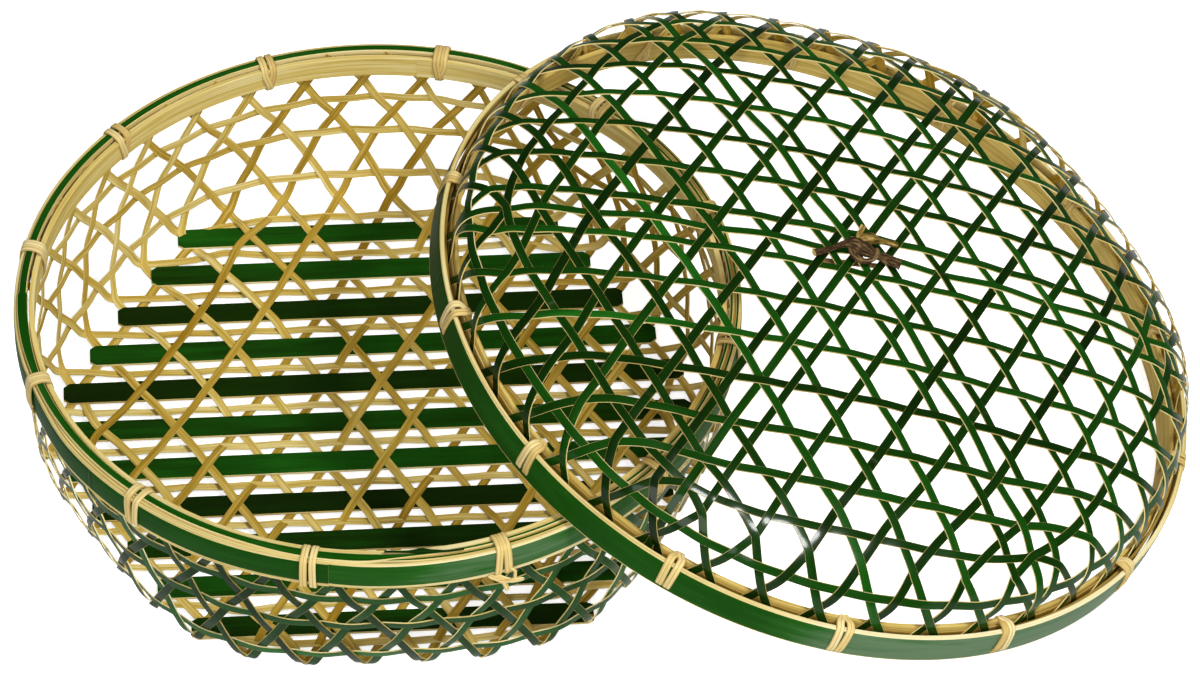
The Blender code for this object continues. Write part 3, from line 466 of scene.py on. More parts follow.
# Handle: name, node, finish, shade, number and upward direction of each vine, then its spots:
# place from the top of the dome, radius, and how flat it is there
KNOT = (
    ("knot_stem", "handle_vine_dark", BROWN_VINE, 0.5, 401, UP,
     ((-0.0272, -0.0112, 0.0044, 0.0024, 0.7), (-0.0215, -0.0082, 0.0046, 0.0018, 0.7),
      (-0.0155, -0.0046, 0.0050, 0.0014, 0.9), (-0.0098, -0.0012, 0.0060, 0.0022, 0.9),
      (-0.0040, 0.0000, 0.0062, 0.0046, 0.8), (0.0030, -0.0018, 0.0056, 0.0044, 0.8),
      (0.0100, -0.0030, 0.0048, 0.0030, 0.7), (0.0170, -0.0040, 0.0044, 0.0034, 0.5),
      (0.0236, -0.0056, 0.0042, 0.0038, 0.5))),
    ("knot_loop", "handle_loop", BROWN_VINE, 0.75, 402, UP,
     ((-0.0062, -0.0008, 0.0060, 0.0015, 1.0), (-0.0052, -0.0042, 0.0050, 0.0019, 1.0),
      (-0.0026, -0.0074, 0.0042, 0.0018, 1.0), (0.0020, -0.0088, 0.0040, 0.0016, 1.0),
      (0.0066, -0.0070, 0.0046, 0.0015, 1.0), (0.0092, -0.0032, 0.0056, 0.0016, 1.0),
      (0.0094, 0.0004, 0.0060, 0.0015, 1.0))),
    ("knot_branch", "handle_vine_tan", GOLD_VINE, 0.45, 403, UP,
     ((0.0216, 0.0068, 0.0062, 0.0016, 0.85), (0.0165, 0.0062, 0.0070, 0.0016, 0.9),
      (0.0110, 0.0054, 0.0078, 0.0018, 0.9), (0.0052, 0.0046, 0.0084, 0.0028, 0.8),
      (0.0000, 0.0038, 0.0082, 0.0026, 0.8), (-0.0040, 0.0016, 0.0066, 0.0016, 0.8))),
    ("knot_stub", "handle_vine_tan", GOLD_VINE, 0.6, 404, (0.0, -0.7, 0.7),
     ((-0.0022, 0.0020, 0.0072, 0.0020, 0.85), (-0.0018, 0.0056, 0.0104, 0.0018, 0.85),
      (-0.0008, 0.0088, 0.0136, 0.0017, 0.8))),
    ("knot_top_lap", "handle_vine_tan", GOLD_VINE, 0.35, 405, UP,
     ((0.0010, 0.0060, 0.0084, 0.0014, 0.8), (0.0050, 0.0072, 0.0090, 0.0015, 0.8),
      (0.0092, 0.0066, 0.0080, 0.0014, 0.8), (0.0120, 0.0048, 0.0062, 0.0010, 0.8))),
    ("knot_peg", "handle_peg", BROWN_VINE, 0.8, 406, UP,
     ((-0.0216, -0.0079, -0.0042, 0.0016, 0.8), (-0.0100, -0.0060, -0.0040, 0.0019, 0.8),
      (0.0030, -0.0036, -0.0040, 0.0018, 0.8), (0.0163, -0.0015, -0.0042, 0.0014, 0.8))),
)
VINE_SIDES = 14


# Geometry helpers

class Curve:
    """Smooth monotone curve through a table of values."""

    def __init__(self, xs, ys):
        self.x = np.array(xs, float)
        self.y = np.array(ys, float)
        h = np.diff(self.x)
        d = np.diff(self.y) / h
        m = np.zeros(len(self.x))
        m[0] = d[0]
        m[-1] = d[-1]
        for i in range(1, len(m) - 1):
            if d[i - 1] * d[i] > 0.0:
                w1 = 2.0 * h[i] + h[i - 1]
                w2 = h[i] + 2.0 * h[i - 1]
                m[i] = (w1 + w2) / (w1 / d[i - 1] + w2 / d[i])
        self.h = h
        self.m = m

    def __call__(self, x):
        i = np.clip(np.searchsorted(self.x, x) - 1, 0, len(self.h) - 1)
        t = np.clip((x - self.x[i]) / self.h[i], 0.0, 1.0)
        a = 2.0 * t ** 3 - 3.0 * t ** 2 + 1.0
        b = t ** 3 - 2.0 * t ** 2 + t
        c = -2.0 * t ** 3 + 3.0 * t ** 2
        e = t ** 3 - t ** 2
        return (a * self.y[i] + b * self.h[i] * self.m[i]
                + c * self.y[i + 1] + e * self.h[i] * self.m[i + 1])


def smooth(a, b, x):
    t = np.clip((x - a) / (b - a), 0.0, 1.0)
    return t * t * (3.0 - 2.0 * t)


def unit(v):
    return v / np.maximum(np.linalg.norm(v, axis=-1, keepdims=True), 1e-12)


def polar(radius, angle, height):
    return np.stack([radius * np.cos(angle), radius * np.sin(angle), height + np.zeros_like(angle)], -1)


def place(matrix, points):
    return turned(matrix, points) + np.array(matrix)[:3, 3]


def turned(matrix, vectors):
    return vectors @ np.array(matrix)[:3, :3].T


def frame_matrix(ex, ey, ez, origin):
    return Matrix([[ex[i], ey[i], ez[i], origin[i]] for i in range(3)] + [[0.0, 0.0, 0.0, 1.0]])


def run_of(points):
    """Distance along a row of points to each of them."""
    return np.concatenate([[0.0], np.cumsum(np.linalg.norm(np.diff(points, axis=0), axis=1))])


def linked(obj):
    bpy.context.scene.collection.objects.link(obj)
    return obj


def sweep(name, centres, sides, tops, section, finish, body, tone, number, nodes=(), closed=False,
          start=0.0, scale=None):
    """A piece made by sweeping a closed section along a path. Section points are (across, up)
    in metres, for the whole path or for each of its points, and tone is one number or one for
    each point."""
    materials, side_slots, slot = finish
    count = len(centres)
    shape = np.array(section, float)
    if shape.ndim == 2:
        shape = np.repeat(shape[None], count, 0)
    if scale is not None:
        shape = shape * np.array(scale)[:, None, None]
    size = shape.shape[1]
    points = centres[:, None] + sides[:, None] * shape[:, :, :1] + tops[:, None] * shape[:, :, 1:]
    run = run_of(centres)
    around = np.linalg.norm(np.roll(shape[count // 2], -1, 0) - shape[count // 2], axis=1)
    edge = np.concatenate([[0.0], np.cumsum(around)])
    faces = []
    slot_of = []
    uvs = []
    tones = []
    shades = np.broadcast_to(np.asarray(tone, float), (count,)).tolist()
    last = run[-1] + float(np.linalg.norm(centres[0] - centres[-1]))
    for i in range(count if closed else count - 1):
        j = (i + 1) % count
        u1 = start + run[i]
        u2 = start + (run[j] if j else last)
        for k in range(size):
            m = (k + 1) % size
            faces.append((i * size + k, i * size + m, j * size + m, j * size + k))
            slot_of.append(side_slots[k])
            uvs += [(u1, edge[k]), (u1, edge[k + 1]), (u2, edge[k + 1]), (u2, edge[k])]
            tones += [(shades[i], number)] * 2 + [(shades[j], number)] * 2
    if not closed:
        for row, order in ((0, list(range(size))[::-1]), (count - 1, list(range(size)))):
            faces.append(tuple(row * size + k for k in order))
            slot_of.append(min(1, len(materials) - 1))
            uvs += [tuple(shape[row][k]) for k in order]
            tones += [(shades[row], number)] * size
    mesh = bpy.data.meshes.new(name)
    mesh.from_pydata(points.reshape(-1, 3).tolist(), [], faces)
    for material in materials:
        mesh.materials.append(material)
    mesh.polygons.foreach_set("material_index", np.array(slot_of, dtype=np.int32))
    mesh.uv_layers.new(name=RUN).data.foreach_set("uv", np.array(uvs).reshape(-1))
    mesh.uv_layers.new(name=TONE).data.foreach_set("uv", np.array(tones).reshape(-1))
    mesh.shade_smooth()
    mesh.set_sharp_from_angle(angle=math.radians(38.0))
    mesh.update()
    piece = linked(bpy.data.objects.new(name, mesh))
    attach(piece, body)
    for node in nodes:
        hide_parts(node)


def strip_section(width, thickness, crown, bevel=STRIP_BEVEL):
    """Flat strip: skin on top with slightly broken edges, cut sides, flat back.
    Runs right round, clockwise seen along the path."""
    w = width / 2.0
    t = thickness / 2.0
    return [(-w, -t), (-w, t - bevel), (-w + bevel, t), (-0.45 * w, t + crown), (0.45 * w, t + crown),
            (w - bevel, t), (w, t - bevel), (w, -t)]


def rows_of(*corners):
    """Sections for each point of a path, from the across and up values of each corner."""
    return np.stack([np.stack(corner, -1) for corner in corners], 1)


def frames_along(centres, normals, closed=False):
    """Unit side and top vectors of a strip that lies on a surface with these normals."""
    if closed:
        tangents = unit(np.roll(centres, -1, 0) - np.roll(centres, 1, 0))
    else:
        tangents = unit(np.gradient(centres, axis=0))
    sides = unit(np.cross(normals, tangents))
    return sides, unit(np.cross(tangents, sides))


# The weave's surface

class Shell:
    """Surface of a weave: developed hexagon distance mapped to a bowl or a dome."""

    def __init__(self, pitch, count, azimuth, profile, blend, outward, matrix, warp=(0.0, 0.0, 0.0),
                 push=0.0):
        self.pitch = pitch
        self.half = count // 2
        self.azimuth = math.radians(azimuth)
        levels, radii, heights, corners = zip(*profile)
        self.radius = Curve(levels, radii)
        self.height = Curve(levels, heights)
        self.corner = Curve(levels, corners)
        self.top = levels[-1]
        self.warp = warp
        self.push = push
        self.blend = blend
        self.outward = outward
        self.matrix = matrix

    def reach(self, level, angle):
        """Distance from the axis, larger towards the hexagon's corners."""
        return self.radius(level) * (1.0 + self.corner(level) * np.cos(6.0 * (angle - self.azimuth)))

    def surface(self, level, angle, lift):
        """Points and outward normals at levels and angles, lifted off the middle surface."""
        toward = np.clip(np.cos(angle - math.radians(PUSH_AZIMUTH)), 0.0, 1.0) ** 1.5
        starts, whole, run_out = PUSH_LEVELS
        ease = smooth(starts, whole, level) * smooth(self.top, self.top - run_out, level)
        level = level + self.push * toward * ease
        eps = 0.03
        dr = self.reach(level + eps, angle) - self.reach(np.maximum(level - eps, 0.0), angle)
        dz = self.height(level + eps) - self.height(np.maximum(level - eps, 0.0))
        length = np.hypot(dr, dz)
        nr = self.outward * dz / length
        nz = -self.outward * dr / length
        points = polar(self.reach(level, angle) + nr * lift, angle, self.height(level) + nz * lift)
        return place(self.matrix, points), turned(self.matrix, polar(nr, angle, nz))

    def floor(self, x, y):
        """Level and angle for points of the flat hexagon, in pitches."""
        rho = np.hypot(x, y)
        true = np.arctan2(y, x)
        centre = np.radians(60.0 * np.floor(true / math.radians(60.0)) + 30.0)
        d = np.maximum(x * np.cos(centre) + y * np.sin(centre), 1e-6)
        t = -x * np.sin(centre) + y * np.cos(centre)
        w = smooth(self.blend[0], self.blend[1], d)
        level = (1.0 - w) * rho + w * d
        even = centre + math.radians(30.0) * t / (d / TAN60)
        return level, (1.0 - w) * true + w * even + self.azimuth

    def strip_path(self, family, offset, stray):
        """Places along one strip from rim to rim: distance, level and angle."""
        turn = math.radians(120.0 * family)
        n = float(self.half)
        slope = SIN60 if offset else 1.0
        edge = (n - abs(offset) / 2.0) / SIN60
        reach = edge + (self.top - n) * (1.0 / slope)
        count = 2 * int(math.ceil(reach / SAMPLE))
        t = np.linspace(-reach, reach, count + 1)
        flat = np.clip(t, -edge, edge)
        aside = offset + stray(t) * smooth(reach, 0.7 * reach, np.abs(t))
        ca = math.cos(turn)
        sa = math.sin(turn)
        x = flat * ca - aside * sa
        y = flat * sa + aside * ca
        fade = smooth(WARP_LEVELS[0], WARP_LEVELS[1], self.floor(x, y)[0])
        x = x + fade * (self.warp[0] + self.warp[1] * x + self.warp[2] * y)
        level, angle = self.floor(x, y)
        over = np.abs(t) - edge
        climb = over * slope
        along = (abs(offset) / SIN60 - climb / TAN60) if offset else np.zeros_like(t)
        side = np.sign(offset * t)
        corner = np.where(t > 0.0, turn, turn + math.pi)
        up = corner + side * math.radians(60.0) * along * TAN60 / (2.0 * n) + self.azimuth
        return t, np.where(over > 0.0, n + climb, level), np.where(over > 0.0, up, angle)


def base_shell(matrix):
    rise = BASE_HEIGHT - BASE_FLOOR
    profile = [(level, r * BASE_RIM_RADIUS, BASE_FLOOR + z * rise, corner)
               for level, r, z, corner in BASE_PROFILE_SHARES]
    return Shell(BASE_PITCH, BASE_STRIPS, BASE_AZIMUTH, profile, BASE_BLEND, 1.0, matrix, BASE_WARP)


def lid_shell(matrix):
    """Dome table: level, radius, height, at rows about evenly far apart."""
    turn = np.linspace(0.0, math.pi / 2.0, 401)
    r = LID_RIM_RADIUS * np.sin(turn)
    z = LID_SHOULDER + LID_DOME * np.cos(turn) ** (2.0 / LID_FLATNESS)
    run = run_of(np.stack([r, z], -1)) / LID_PITCH
    rows = np.linspace(0.0, run[-1], 50)
    first, whole, run_out = LID_CORNER_LEVELS
    corner = LID_CORNER * smooth(first, whole, rows) * (1.0 - smooth(rows[-1] - run_out, rows[-1], rows))
    profile = list(zip(rows, np.interp(rows, run, r), np.interp(rows, run, z), corner))
    drop = LID_SHOULDER - LID_BAND_LOW
    profile.append((rows[-1] + drop / LID_PITCH, LID_RIM_RADIUS, LID_BAND_LOW, 0.0))
    return Shell(LID_PITCH, LID_STRIPS, LID_AZIMUTH, profile, LID_BLEND, -1.0, matrix, push=LID_PUSH)


def hoop_frame(node, tall):
    """Frame of a hoop that lies as packed: origin in the middle of its mouth, z its axis."""
    points = np.array([v.co[:] for v in frame["nodes"][node].data.vertices])
    points = np.unique(points.round(6), axis=0)
    middle = points.mean(0)
    vectors = np.linalg.eigh(np.cov((points - middle).T))[1]
    normal = vectors[:, 0] * np.sign(vectors[2, 0])
    ex = unit(np.cross([0.0, 1.0, 0.0], normal))
    return frame_matrix(ex, np.cross(normal, ex), normal, middle - normal * tall / 2.0)


# Strips

def wave(seed, amount):
    """A smooth sideways wander with its own phases for each strip."""
    draw = np.random.default_rng(seed)
    a, b, c = draw.uniform(0.0, TAU, 3)
    p, q = draw.uniform(0.6, 1.0, 2)

    def value(t):
        return amount * (0.5 * p * np.sin(0.42 * t + a) + 0.35 * q * np.sin(0.95 * t + b)
                         + 0.15 * np.sin(2.1 * t + c))
    return value


def tone_of(seed, low, high):
    return float(np.random.default_rng(seed + 900).uniform(low, high))


def strip(name, centres, normals, width, body, tone, number, node, closed=False, start=0.0):
    sides, tops = frames_along(centres, normals, closed)
    section = strip_section(width, STRIP_THICKNESS, STRIP_CROWN)
    sweep(name, centres, sides, tops, section, STRIP_FINISHES[body], body, tone, number, (node,),
          closed, start)


def weave(shell, body, offsets, tones, slat_lift=None):
    """The strips of all three families, each passing over one neighbour and under the next."""
    number = 0
    for family, letter in enumerate("abc"):
        for offset in offsets:
            number += 1
            seed = 100 * family + int(2 * offset + 50) + (1000 if body == "lid" else 0)
            t, level, angle = shell.strip_path(family, offset, wave(seed, WANDER / shell.pitch))
            wall = smooth(shell.half - 1.0, shell.half + 0.5, level)
            if offset:
                lift = np.cos(TAU * (t * SIN60 + 0.5 + 0.5 * offset))
                lift = lift * (WEAVE_LIFT + (WALL_LIFT - WEAVE_LIFT) * wall)
            else:
                lift = EXTRA_LIFT * np.cos(math.pi * (t * SIN60 - 0.5))
                lift = lift + (1.0 - family) * 1.2 * EXTRA_LIFT * np.exp(-(t / 0.3) ** 2)
            if slat_lift is not None:
                lift = lift - slat_lift(family, offset, t)
            centres, normals = shell.surface(level, angle, lift)
            width = STRIP_WIDTH * float(np.random.default_rng(seed + 400).uniform(*STRIP_WIDTH_SHARES))
            strip("%s_strip_%s_%02d" % (body, letter, number), centres, normals, width, body,
                  tone_of(seed, *tones[family]), number, "%s_weave_%s" % (body, letter),
                  start=0.31 * number)


def ring_strips(shell, body, levels, tones):
    """Strips woven round the wall, over the strips that lean right and under the others."""
    columns = 3 * 2 * shell.half
    for i, level in enumerate(levels):
        seed = 70 + i + (1000 if body == "lid" else 0)
        angle = np.linspace(0.0, TAU, 12 * columns, endpoint=False)
        quarter = 0.75 if (level - shell.half) % 2.0 < 1.0 else 0.25
        phase = angle - shell.azimuth - quarter * TAU / columns
        stray = wave(seed, WANDER / shell.pitch)(6.0 * angle)
        stray = stray * smooth(0.0, 0.5, angle) * smooth(TAU, TAU - 0.5, angle)
        centres, normals = shell.surface(level + stray, angle, RING_LIFT * np.cos(columns * phase))
        strip("%s_ring_%d" % (body, i + 1), centres, normals, STRIP_WIDTH, body,
              tone_of(seed, *tones), 60 + i, "%s_ring_strip_%d" % (body, i + 1), closed=True)


# Slats

def slat_row(index):
    return float(SLATS // 2 - index)


def over_slat(family, offset, t):
    """How far a strip is lifted where it crosses the slats."""
    total = np.zeros_like(t)
    if family == 0:
        return total
    turn = math.radians(120.0 * family)
    ca = math.cos(turn)
    sa = math.sin(turn)
    for index in range(SLATS):
        row = slat_row(index)
        spot = (row - offset * ca) / sa
        x = spot * ca - offset * sa
        if SIN60 * abs(x) + abs(row) / 2.0 > SLAT_REACH + 0.3:
            continue
        lies_over = min(abs(x * SIN60 - c) for c in SLAT_CROSSINGS[index]) < 0.2
        bump = smooth(*CROSSING_EASE, np.abs(t - spot))
        total += bump * (CROSSING_RISE if lies_over else -CROSSING_SINK)
    return total


def slats(shell):
    """Straight planks laid in the floor, one over the middle of each row of hexagons."""
    along = polar(1.0, np.array(shell.azimuth), 0.0)
    up = np.array(UP)
    across = np.cross(up, along)
    for index in range(SLATS):
        row = slat_row(index)
        draw = np.random.default_rng(500 + index)
        reach = min((SLAT_REACH - abs(row) / 2.0) / SIN60, SLAT_HALF) * shell.pitch
        low = -reach + draw.uniform(-SLAT_END_STRAY, SLAT_END_STRAY)
        high = reach + draw.uniform(-SLAT_END_STRAY, SLAT_END_STRAY)
        t = np.concatenate([[low], np.linspace(low + SLAT_CHAMFER, high - SLAT_CHAMFER, 60), [high]])
        half = SLAT_WIDTH / 2.0 * (1.0 + 0.02 * np.sin(t / 0.05 + 7.0 * draw.random()))
        half[[0, -1]] -= SLAT_CHAMFER * draw.uniform(0.5, 1.0, 2)
        aside = row * shell.pitch + draw.uniform(-SLAT_STRAY, SLAT_STRAY)
        aside = aside + t * draw.uniform(-SLAT_SKEW, SLAT_SKEW)
        centres = t[:, None] * along + aside[:, None] * across + (BASE_FLOOR + SLAT_LIFT) * up
        centres = place(shell.matrix, centres)
        sides, tops = frames_along(centres, up)
        section = [strip_section(2.0 * h, SLAT_THICKNESS, SLAT_CROWN, SLAT_BEVEL) for h in half]
        sweep("slat_%02d" % (index + 1), centres, sides, tops, section, SLAT_FINISH, "base",
              SLAT_TONES[index], 80 + index, ("floor_slat_%02d" % (index + 1),), start=0.13 * index)


# Rim

def wobble(seed, amount):
    """Slow unevenness round a hoop, the same at both ends of the turn."""
    draw = np.random.default_rng(seed)
    phases = draw.uniform(0.0, TAU, 4)

    def value(angle):
        return amount * sum(np.sin((k + 2) * angle + phases[k]) / (k + 1.5) for k in range(4))
    return value


def stretch(bounds, angle):
    """One between the middle two azimuths, easing to zero at the outer two."""
    a, b, c, d = (math.radians(v) for v in bounds)
    turn = (angle - math.pi) % TAU + math.pi
    return smooth(a, b, turn) * (1.0 - smooth(c, d, turn))


def painted_sheen(low, high, bounds):
    """Shade of a hoop round its turn: a painted grey-green sheen, a painted reflection, shows between
    the azimuths.
    """
    return lambda angle: low + (high - low) * stretch(bounds, angle)


def sweep_round(name, angle, middle, rows, matrix, *how, **more):
    """Sweeps sections, given by radius and height, round the axis at these angles."""
    middle = np.broadcast_to(middle, angle.shape)
    rows[:, :, 0] -= middle[:, None]
    radial = polar(1.0, angle, 0.0)
    tops = np.repeat(np.array(matrix)[:3, 2][None], len(angle), 0)
    centres = place(matrix, radial * middle[:, None])
    sweep(name, centres, turned(matrix, radial), tops, rows, *how, **more)


def hoop(name, node, size, seam, matrix, body, finish, tone, number, seen_inside=False,
         crown=0.0, edges=HOOP_EDGES, taper=None):
    """Split-cane hoop bent to a circle. Its thinned ends lie over each other along the lap, and
    the end that is seen stops in a small step. The seam says where that end is and how long the
    lap is, and edges how far the cut edges slant in."""
    inner, outer, low, high = size
    lap = math.radians(seam[1])
    turn = np.unique(np.concatenate([np.linspace(0.0, TAU + lap, 420),
                                     np.linspace(lap, lap + LAP_EASE, 5)]).round(7))
    past = turn - TAU
    thick = outer - inner
    first = (thick - LAP_STEP) * (1.0 - np.clip(turn / lap, 0.0, 1.0))
    last = (thick - LAP_STEP) * np.clip(past / lap, 0.0, 1.0)
    step = LAP_STEP * smooth(lap + LAP_EASE, lap, turn)
    if taper:
        sunk = LAP_SINK * (smooth(lap + 0.1, lap - 0.1, turn) + smooth(-0.15, 0.0, past))
        under = LAP_STEP + (thick - LAP_STEP) * smooth(0.0, taper, past)
        r_in = inner - sunk + under * smooth(-0.05, 0.0, past)
        own = LAP_STEP + (thick - LAP_STEP) * smooth(0.0, taper, turn)
        r_out = r_in + own * (1.0 - 0.6 * smooth(lap - 1.8 * taper, lap, past))
    elif seen_inside:
        r_in = inner + first + step
        r_out = outer - last
    else:
        r_out = outer - first - step
        r_in = inner + last
    angle = math.radians(seam[0]) - lap + turn
    dz = wobble(number, HOOP_ROUGH)(angle)
    dr = wobble(number + 7, 0.5 * HOOP_ROUGH)(angle)
    slant_low = edges[0] * (1.0 + wobble(number + 11, 0.25)(angle))
    slant_high = edges[1] * (1.0 + wobble(number + 13, 0.25)(angle))
    a = r_in + dr
    c = np.maximum(r_out + dr, a + LAP_STEP)
    b = np.minimum(HOOP_BEVEL, 0.3 * (c - a))
    in_low = np.minimum(0.15 * slant_low, 0.4 * (c - a))
    in_high = np.minimum(0.45 * slant_high, 0.4 * (c - a))
    z1 = low + dz
    z2 = high + dz
    zm = (z1 + z2) / 2.0
    q = (z2 - z1) / 4.0
    rows = rows_of((a, z1 + b), (a, z2 - b), (a + b, z2), (c - in_high, z2), (c, z2 - slant_high),
                   (c + crown, zm + q), (c + crown, zm - q), (c, z1 + slant_low), (c - in_low, z1),
                   (a + b, z1))
    sweep_round(name, angle, (inner + outer) / 2.0, rows, matrix, finish, body,
                tone(angle) if callable(tone) else tone, number, (node,))


def ring_band(name, bounds, matrix, body, finish, tone, number, nodes=(), seed=None):
    """Closed band round the rim. Its inner and outer radius, bottom and top may follow the angle."""
    angle = np.linspace(0.0, TAU, 540, endpoint=False)
    inner, outer, low, high = (b(angle) if callable(b) else np.full_like(angle, b) for b in bounds)
    if seed is not None:
        draw = np.random.default_rng(seed)
        high = high + wobble(seed, LINER_ROUGH)(angle)
        high = high + draw.uniform(-LINER_FRAY, LINER_FRAY, len(angle))
    b = np.minimum(BAND_BEVEL, 0.2 * (outer - inner))
    rows = rows_of((inner, low), (inner, high - b), (inner + b, high), (outer - b, high),
                   (outer, high - b), (outer, low))
    sweep_round(name, angle, (inner + outer) / 2.0, rows, matrix, finish, body, tone, number, nodes,
                closed=True)


def rounded(loop, rounds=2, share=0.24):
    """Closed outline with its corners cut smooth."""
    points = np.array(loop, float)
    for _ in range(rounds):
        after = np.roll(points, -1, 0)
        points = np.stack([points + (after - points) * share,
                           after - (after - points) * share], 1).reshape(-1, 2)
    return points


def resampled(points, step):
    after = np.roll(points, -1, 0)
    made = []
    for p, q in zip(points, after):
        count = max(1, int(math.ceil(np.linalg.norm(q - p) / step)))
        for k in range(count):
            made.append(p + (q - p) * k / count)
    return np.array(made)


def tie(body, index, loop, azimuth, matrix, pinch, seed):
    """Two turns of split rattan round the rim, drawn together where pinch says."""
    draw = np.random.default_rng(seed)
    outline = resampled(rounded(loop), WRAP_STEP)
    tangent = unit(np.roll(outline, -1, 0) - np.roll(outline, 1, 0))
    middle = outline.mean(0)
    normal = np.stack([tangent[:, 1], -tangent[:, 0]], 1)
    if np.sum(normal * (outline - middle)) < 0.0:
        normal = -normal
    lean = draw.uniform(-WRAP_LEAN, WRAP_LEAN)
    twist = draw.uniform(-WRAP_TWIST, WRAP_TWIST)
    close = smooth(*pinch[0], outline[:, 1]) * smooth(*pinch[1], outline[:, 0])
    t = WRAP_THICKNESS / 2.0
    for turn, sign in enumerate((-1.0, 1.0)):
        shift = sign * WRAP_APART * (1.0 - close) + lean * close
        shift = shift + twist * sign * (outline[:, 1] - middle[1])
        w = WRAP_WIDTH * draw.uniform(0.9, 1.08) / 2.0
        out = t + WRAP_OVER * turn * close
        radius = outline[:, 0] + normal[:, 0] * out
        spin = math.radians(azimuth) + shift / radius
        centres = place(matrix, polar(radius, spin, outline[:, 1] + normal[:, 1] * out))
        ups = turned(matrix, polar(normal[:, 0], spin, normal[:, 1]))
        sides, tops = frames_along(centres, ups, closed=True)
        section = [(-w, -t), (-w, 0.0), (-0.8 * w, 0.9 * t), (-0.4 * w, 1.25 * t), (0.0, 0.85 * t),
                   (0.4 * w, 1.25 * t), (0.8 * w, 0.9 * t), (w, 0.0), (w, -t)]
        sweep("%s_wrap_%02d_%d" % (body, index + 1, turn + 1), centres, sides, tops, section, RATTAN,
              body, draw.uniform(0.35, 0.75), 200 + 2 * index + turn,
              ("%s_tie_%02d" % (body, index + 1),), closed=True)


def edge_of(uneven, start, *moves):
    """A radius or height that follows the angle, with moves along stretches of the turn."""
    return lambda angle: start + uneven(angle) + sum(by * stretch(where, angle) for by, where in moves)


def base_cover(matrix):
    """Green strip on top of the rim; right of its node it goes on as two narrow ones."""
    uneven = wobble(331, COVER_UNEVEN)
    for name, tone, number, seed, inner, outer, top in TOP_STRIPS:
        bounds = (edge_of(uneven, *inner), edge_of(uneven, *outer), TOP_STRIPS_LOW,
                  edge_of(wobble(seed, COVER_ROUGH), *top))
        ring_band(name, bounds, matrix, "base", COVER, tone, number, ("base_rim_cover",))
    turn = np.radians(np.linspace(*NODE_AZIMUTHS, 24))
    cross = smooth(turn[0], turn[-1], turn)
    radius = BASE_COVER[0] - NODE_START + NODE_CROSS * cross + 0.0003 * np.sin(9.0 * cross)
    height = BASE_COVER[3] + NODE_BASE + NODE_RISE * np.sin(np.pi * cross)
    centres = place(matrix, polar(radius, turn, height))
    sides, tops = frames_along(centres, np.array(UP))
    fat = (0.45 + 0.75 * np.exp(-((cross - 0.45) / 0.16) ** 2)
           + 0.2 * np.exp(-((cross - 0.75) / 0.08) ** 2))
    sweep("base_top_node", centres, sides, tops, strip_section(*NODE_SECTION), CANE_NODE, "base", -0.1,
          309, scale=fat)


def tail(name, number, width, spots, azimuth, matrix):
    """Loose rattan end over the outer hoop."""
    keys = np.array(spots, float)
    at = np.linspace(0.0, len(keys) - 1.0, 8 * (len(keys) - 1) + 1)
    aside, rise, lift = (Curve(np.arange(len(keys)), keys[:, k])(at) for k in range(3))
    spin = math.radians(azimuth) + aside / BASE_OUTER_HOOP[1]
    radius = BASE_OUTER_HOOP[1] + TAIL_LIFT + lift
    centres = place(matrix, polar(radius, spin, BASE_OUTER_HOOP[2] + rise))
    sides, tops = frames_along(centres, polar(1.0, spin, 0.0))
    w = width / 2.0
    t = WRAP_THICKNESS / 2.0
    section = [(-w, -t), (-w, 0.0), (-0.6 * w, t), (0.6 * w, t), (w, 0.0), (w, -t)]
    thin = np.interp(at, [0.0, 0.5, at[-1] - 0.3, at[-1]], [0.7, 1.0, 0.9, 0.5])
    sweep(name, centres, sides, tops, section, RATTAN, "base", 0.6, number, scale=thin)


def base_rim(matrix):
    hoop("base_hoop_outer", "base_outer_hoop", BASE_OUTER_HOOP, BASE_LAP, matrix, "base", GREEN_HOOP,
         painted_sheen(*BASE_PAINTED_SHEEN), 301, crown=HOOP_CROWN, edges=BASE_EDGES, taper=BASE_TAPER)
    hoop("base_hoop_inner", "base_inner_hoop", BASE_INNER_HOOP, BASE_INNER_LAP, matrix, "base",
         PALE_HOOP, 0.60, 302, seen_inside=True)
    base_cover(matrix)
    ring_band("base_liner", BASE_LINER, matrix, "base", LINER, 0.1, 310, seed=41)
    g = TIE_GAP
    r_in, r_out, bottom, top = BASE_OUTER_HOOP
    inner, cover = BASE_INNER_HOOP, BASE_COVER
    for index in range(BASE_TIES):
        azimuth = BASE_TIE_PHASE + 360.0 * index / BASE_TIES
        doubled = BASE_LAP[0] - BASE_LAP[1] < azimuth < BASE_LAP[0]
        rim = r_out + (r_out - r_in - LAP_SINK if doubled else 0.0) + 2.0 * g
        loop = [(cover[1] + g, cover[3] + g), (rim, top + g), (rim, bottom - g),
                (r_in, bottom - 2.0 * g), (inner[1], inner[2] - 2.0 * g),
                (inner[0] - g, inner[2] - g), (inner[0] - g, inner[3] + g), (cover[0] - g, cover[3] + g)]
        tie("base", index, loop, azimuth, matrix, BASE_PINCH, 600 + index)
    for parts in TAILS:
        tail(*parts, BASE_TIE_PHASE + 360.0 * TAIL_TIE / BASE_TIES, matrix)


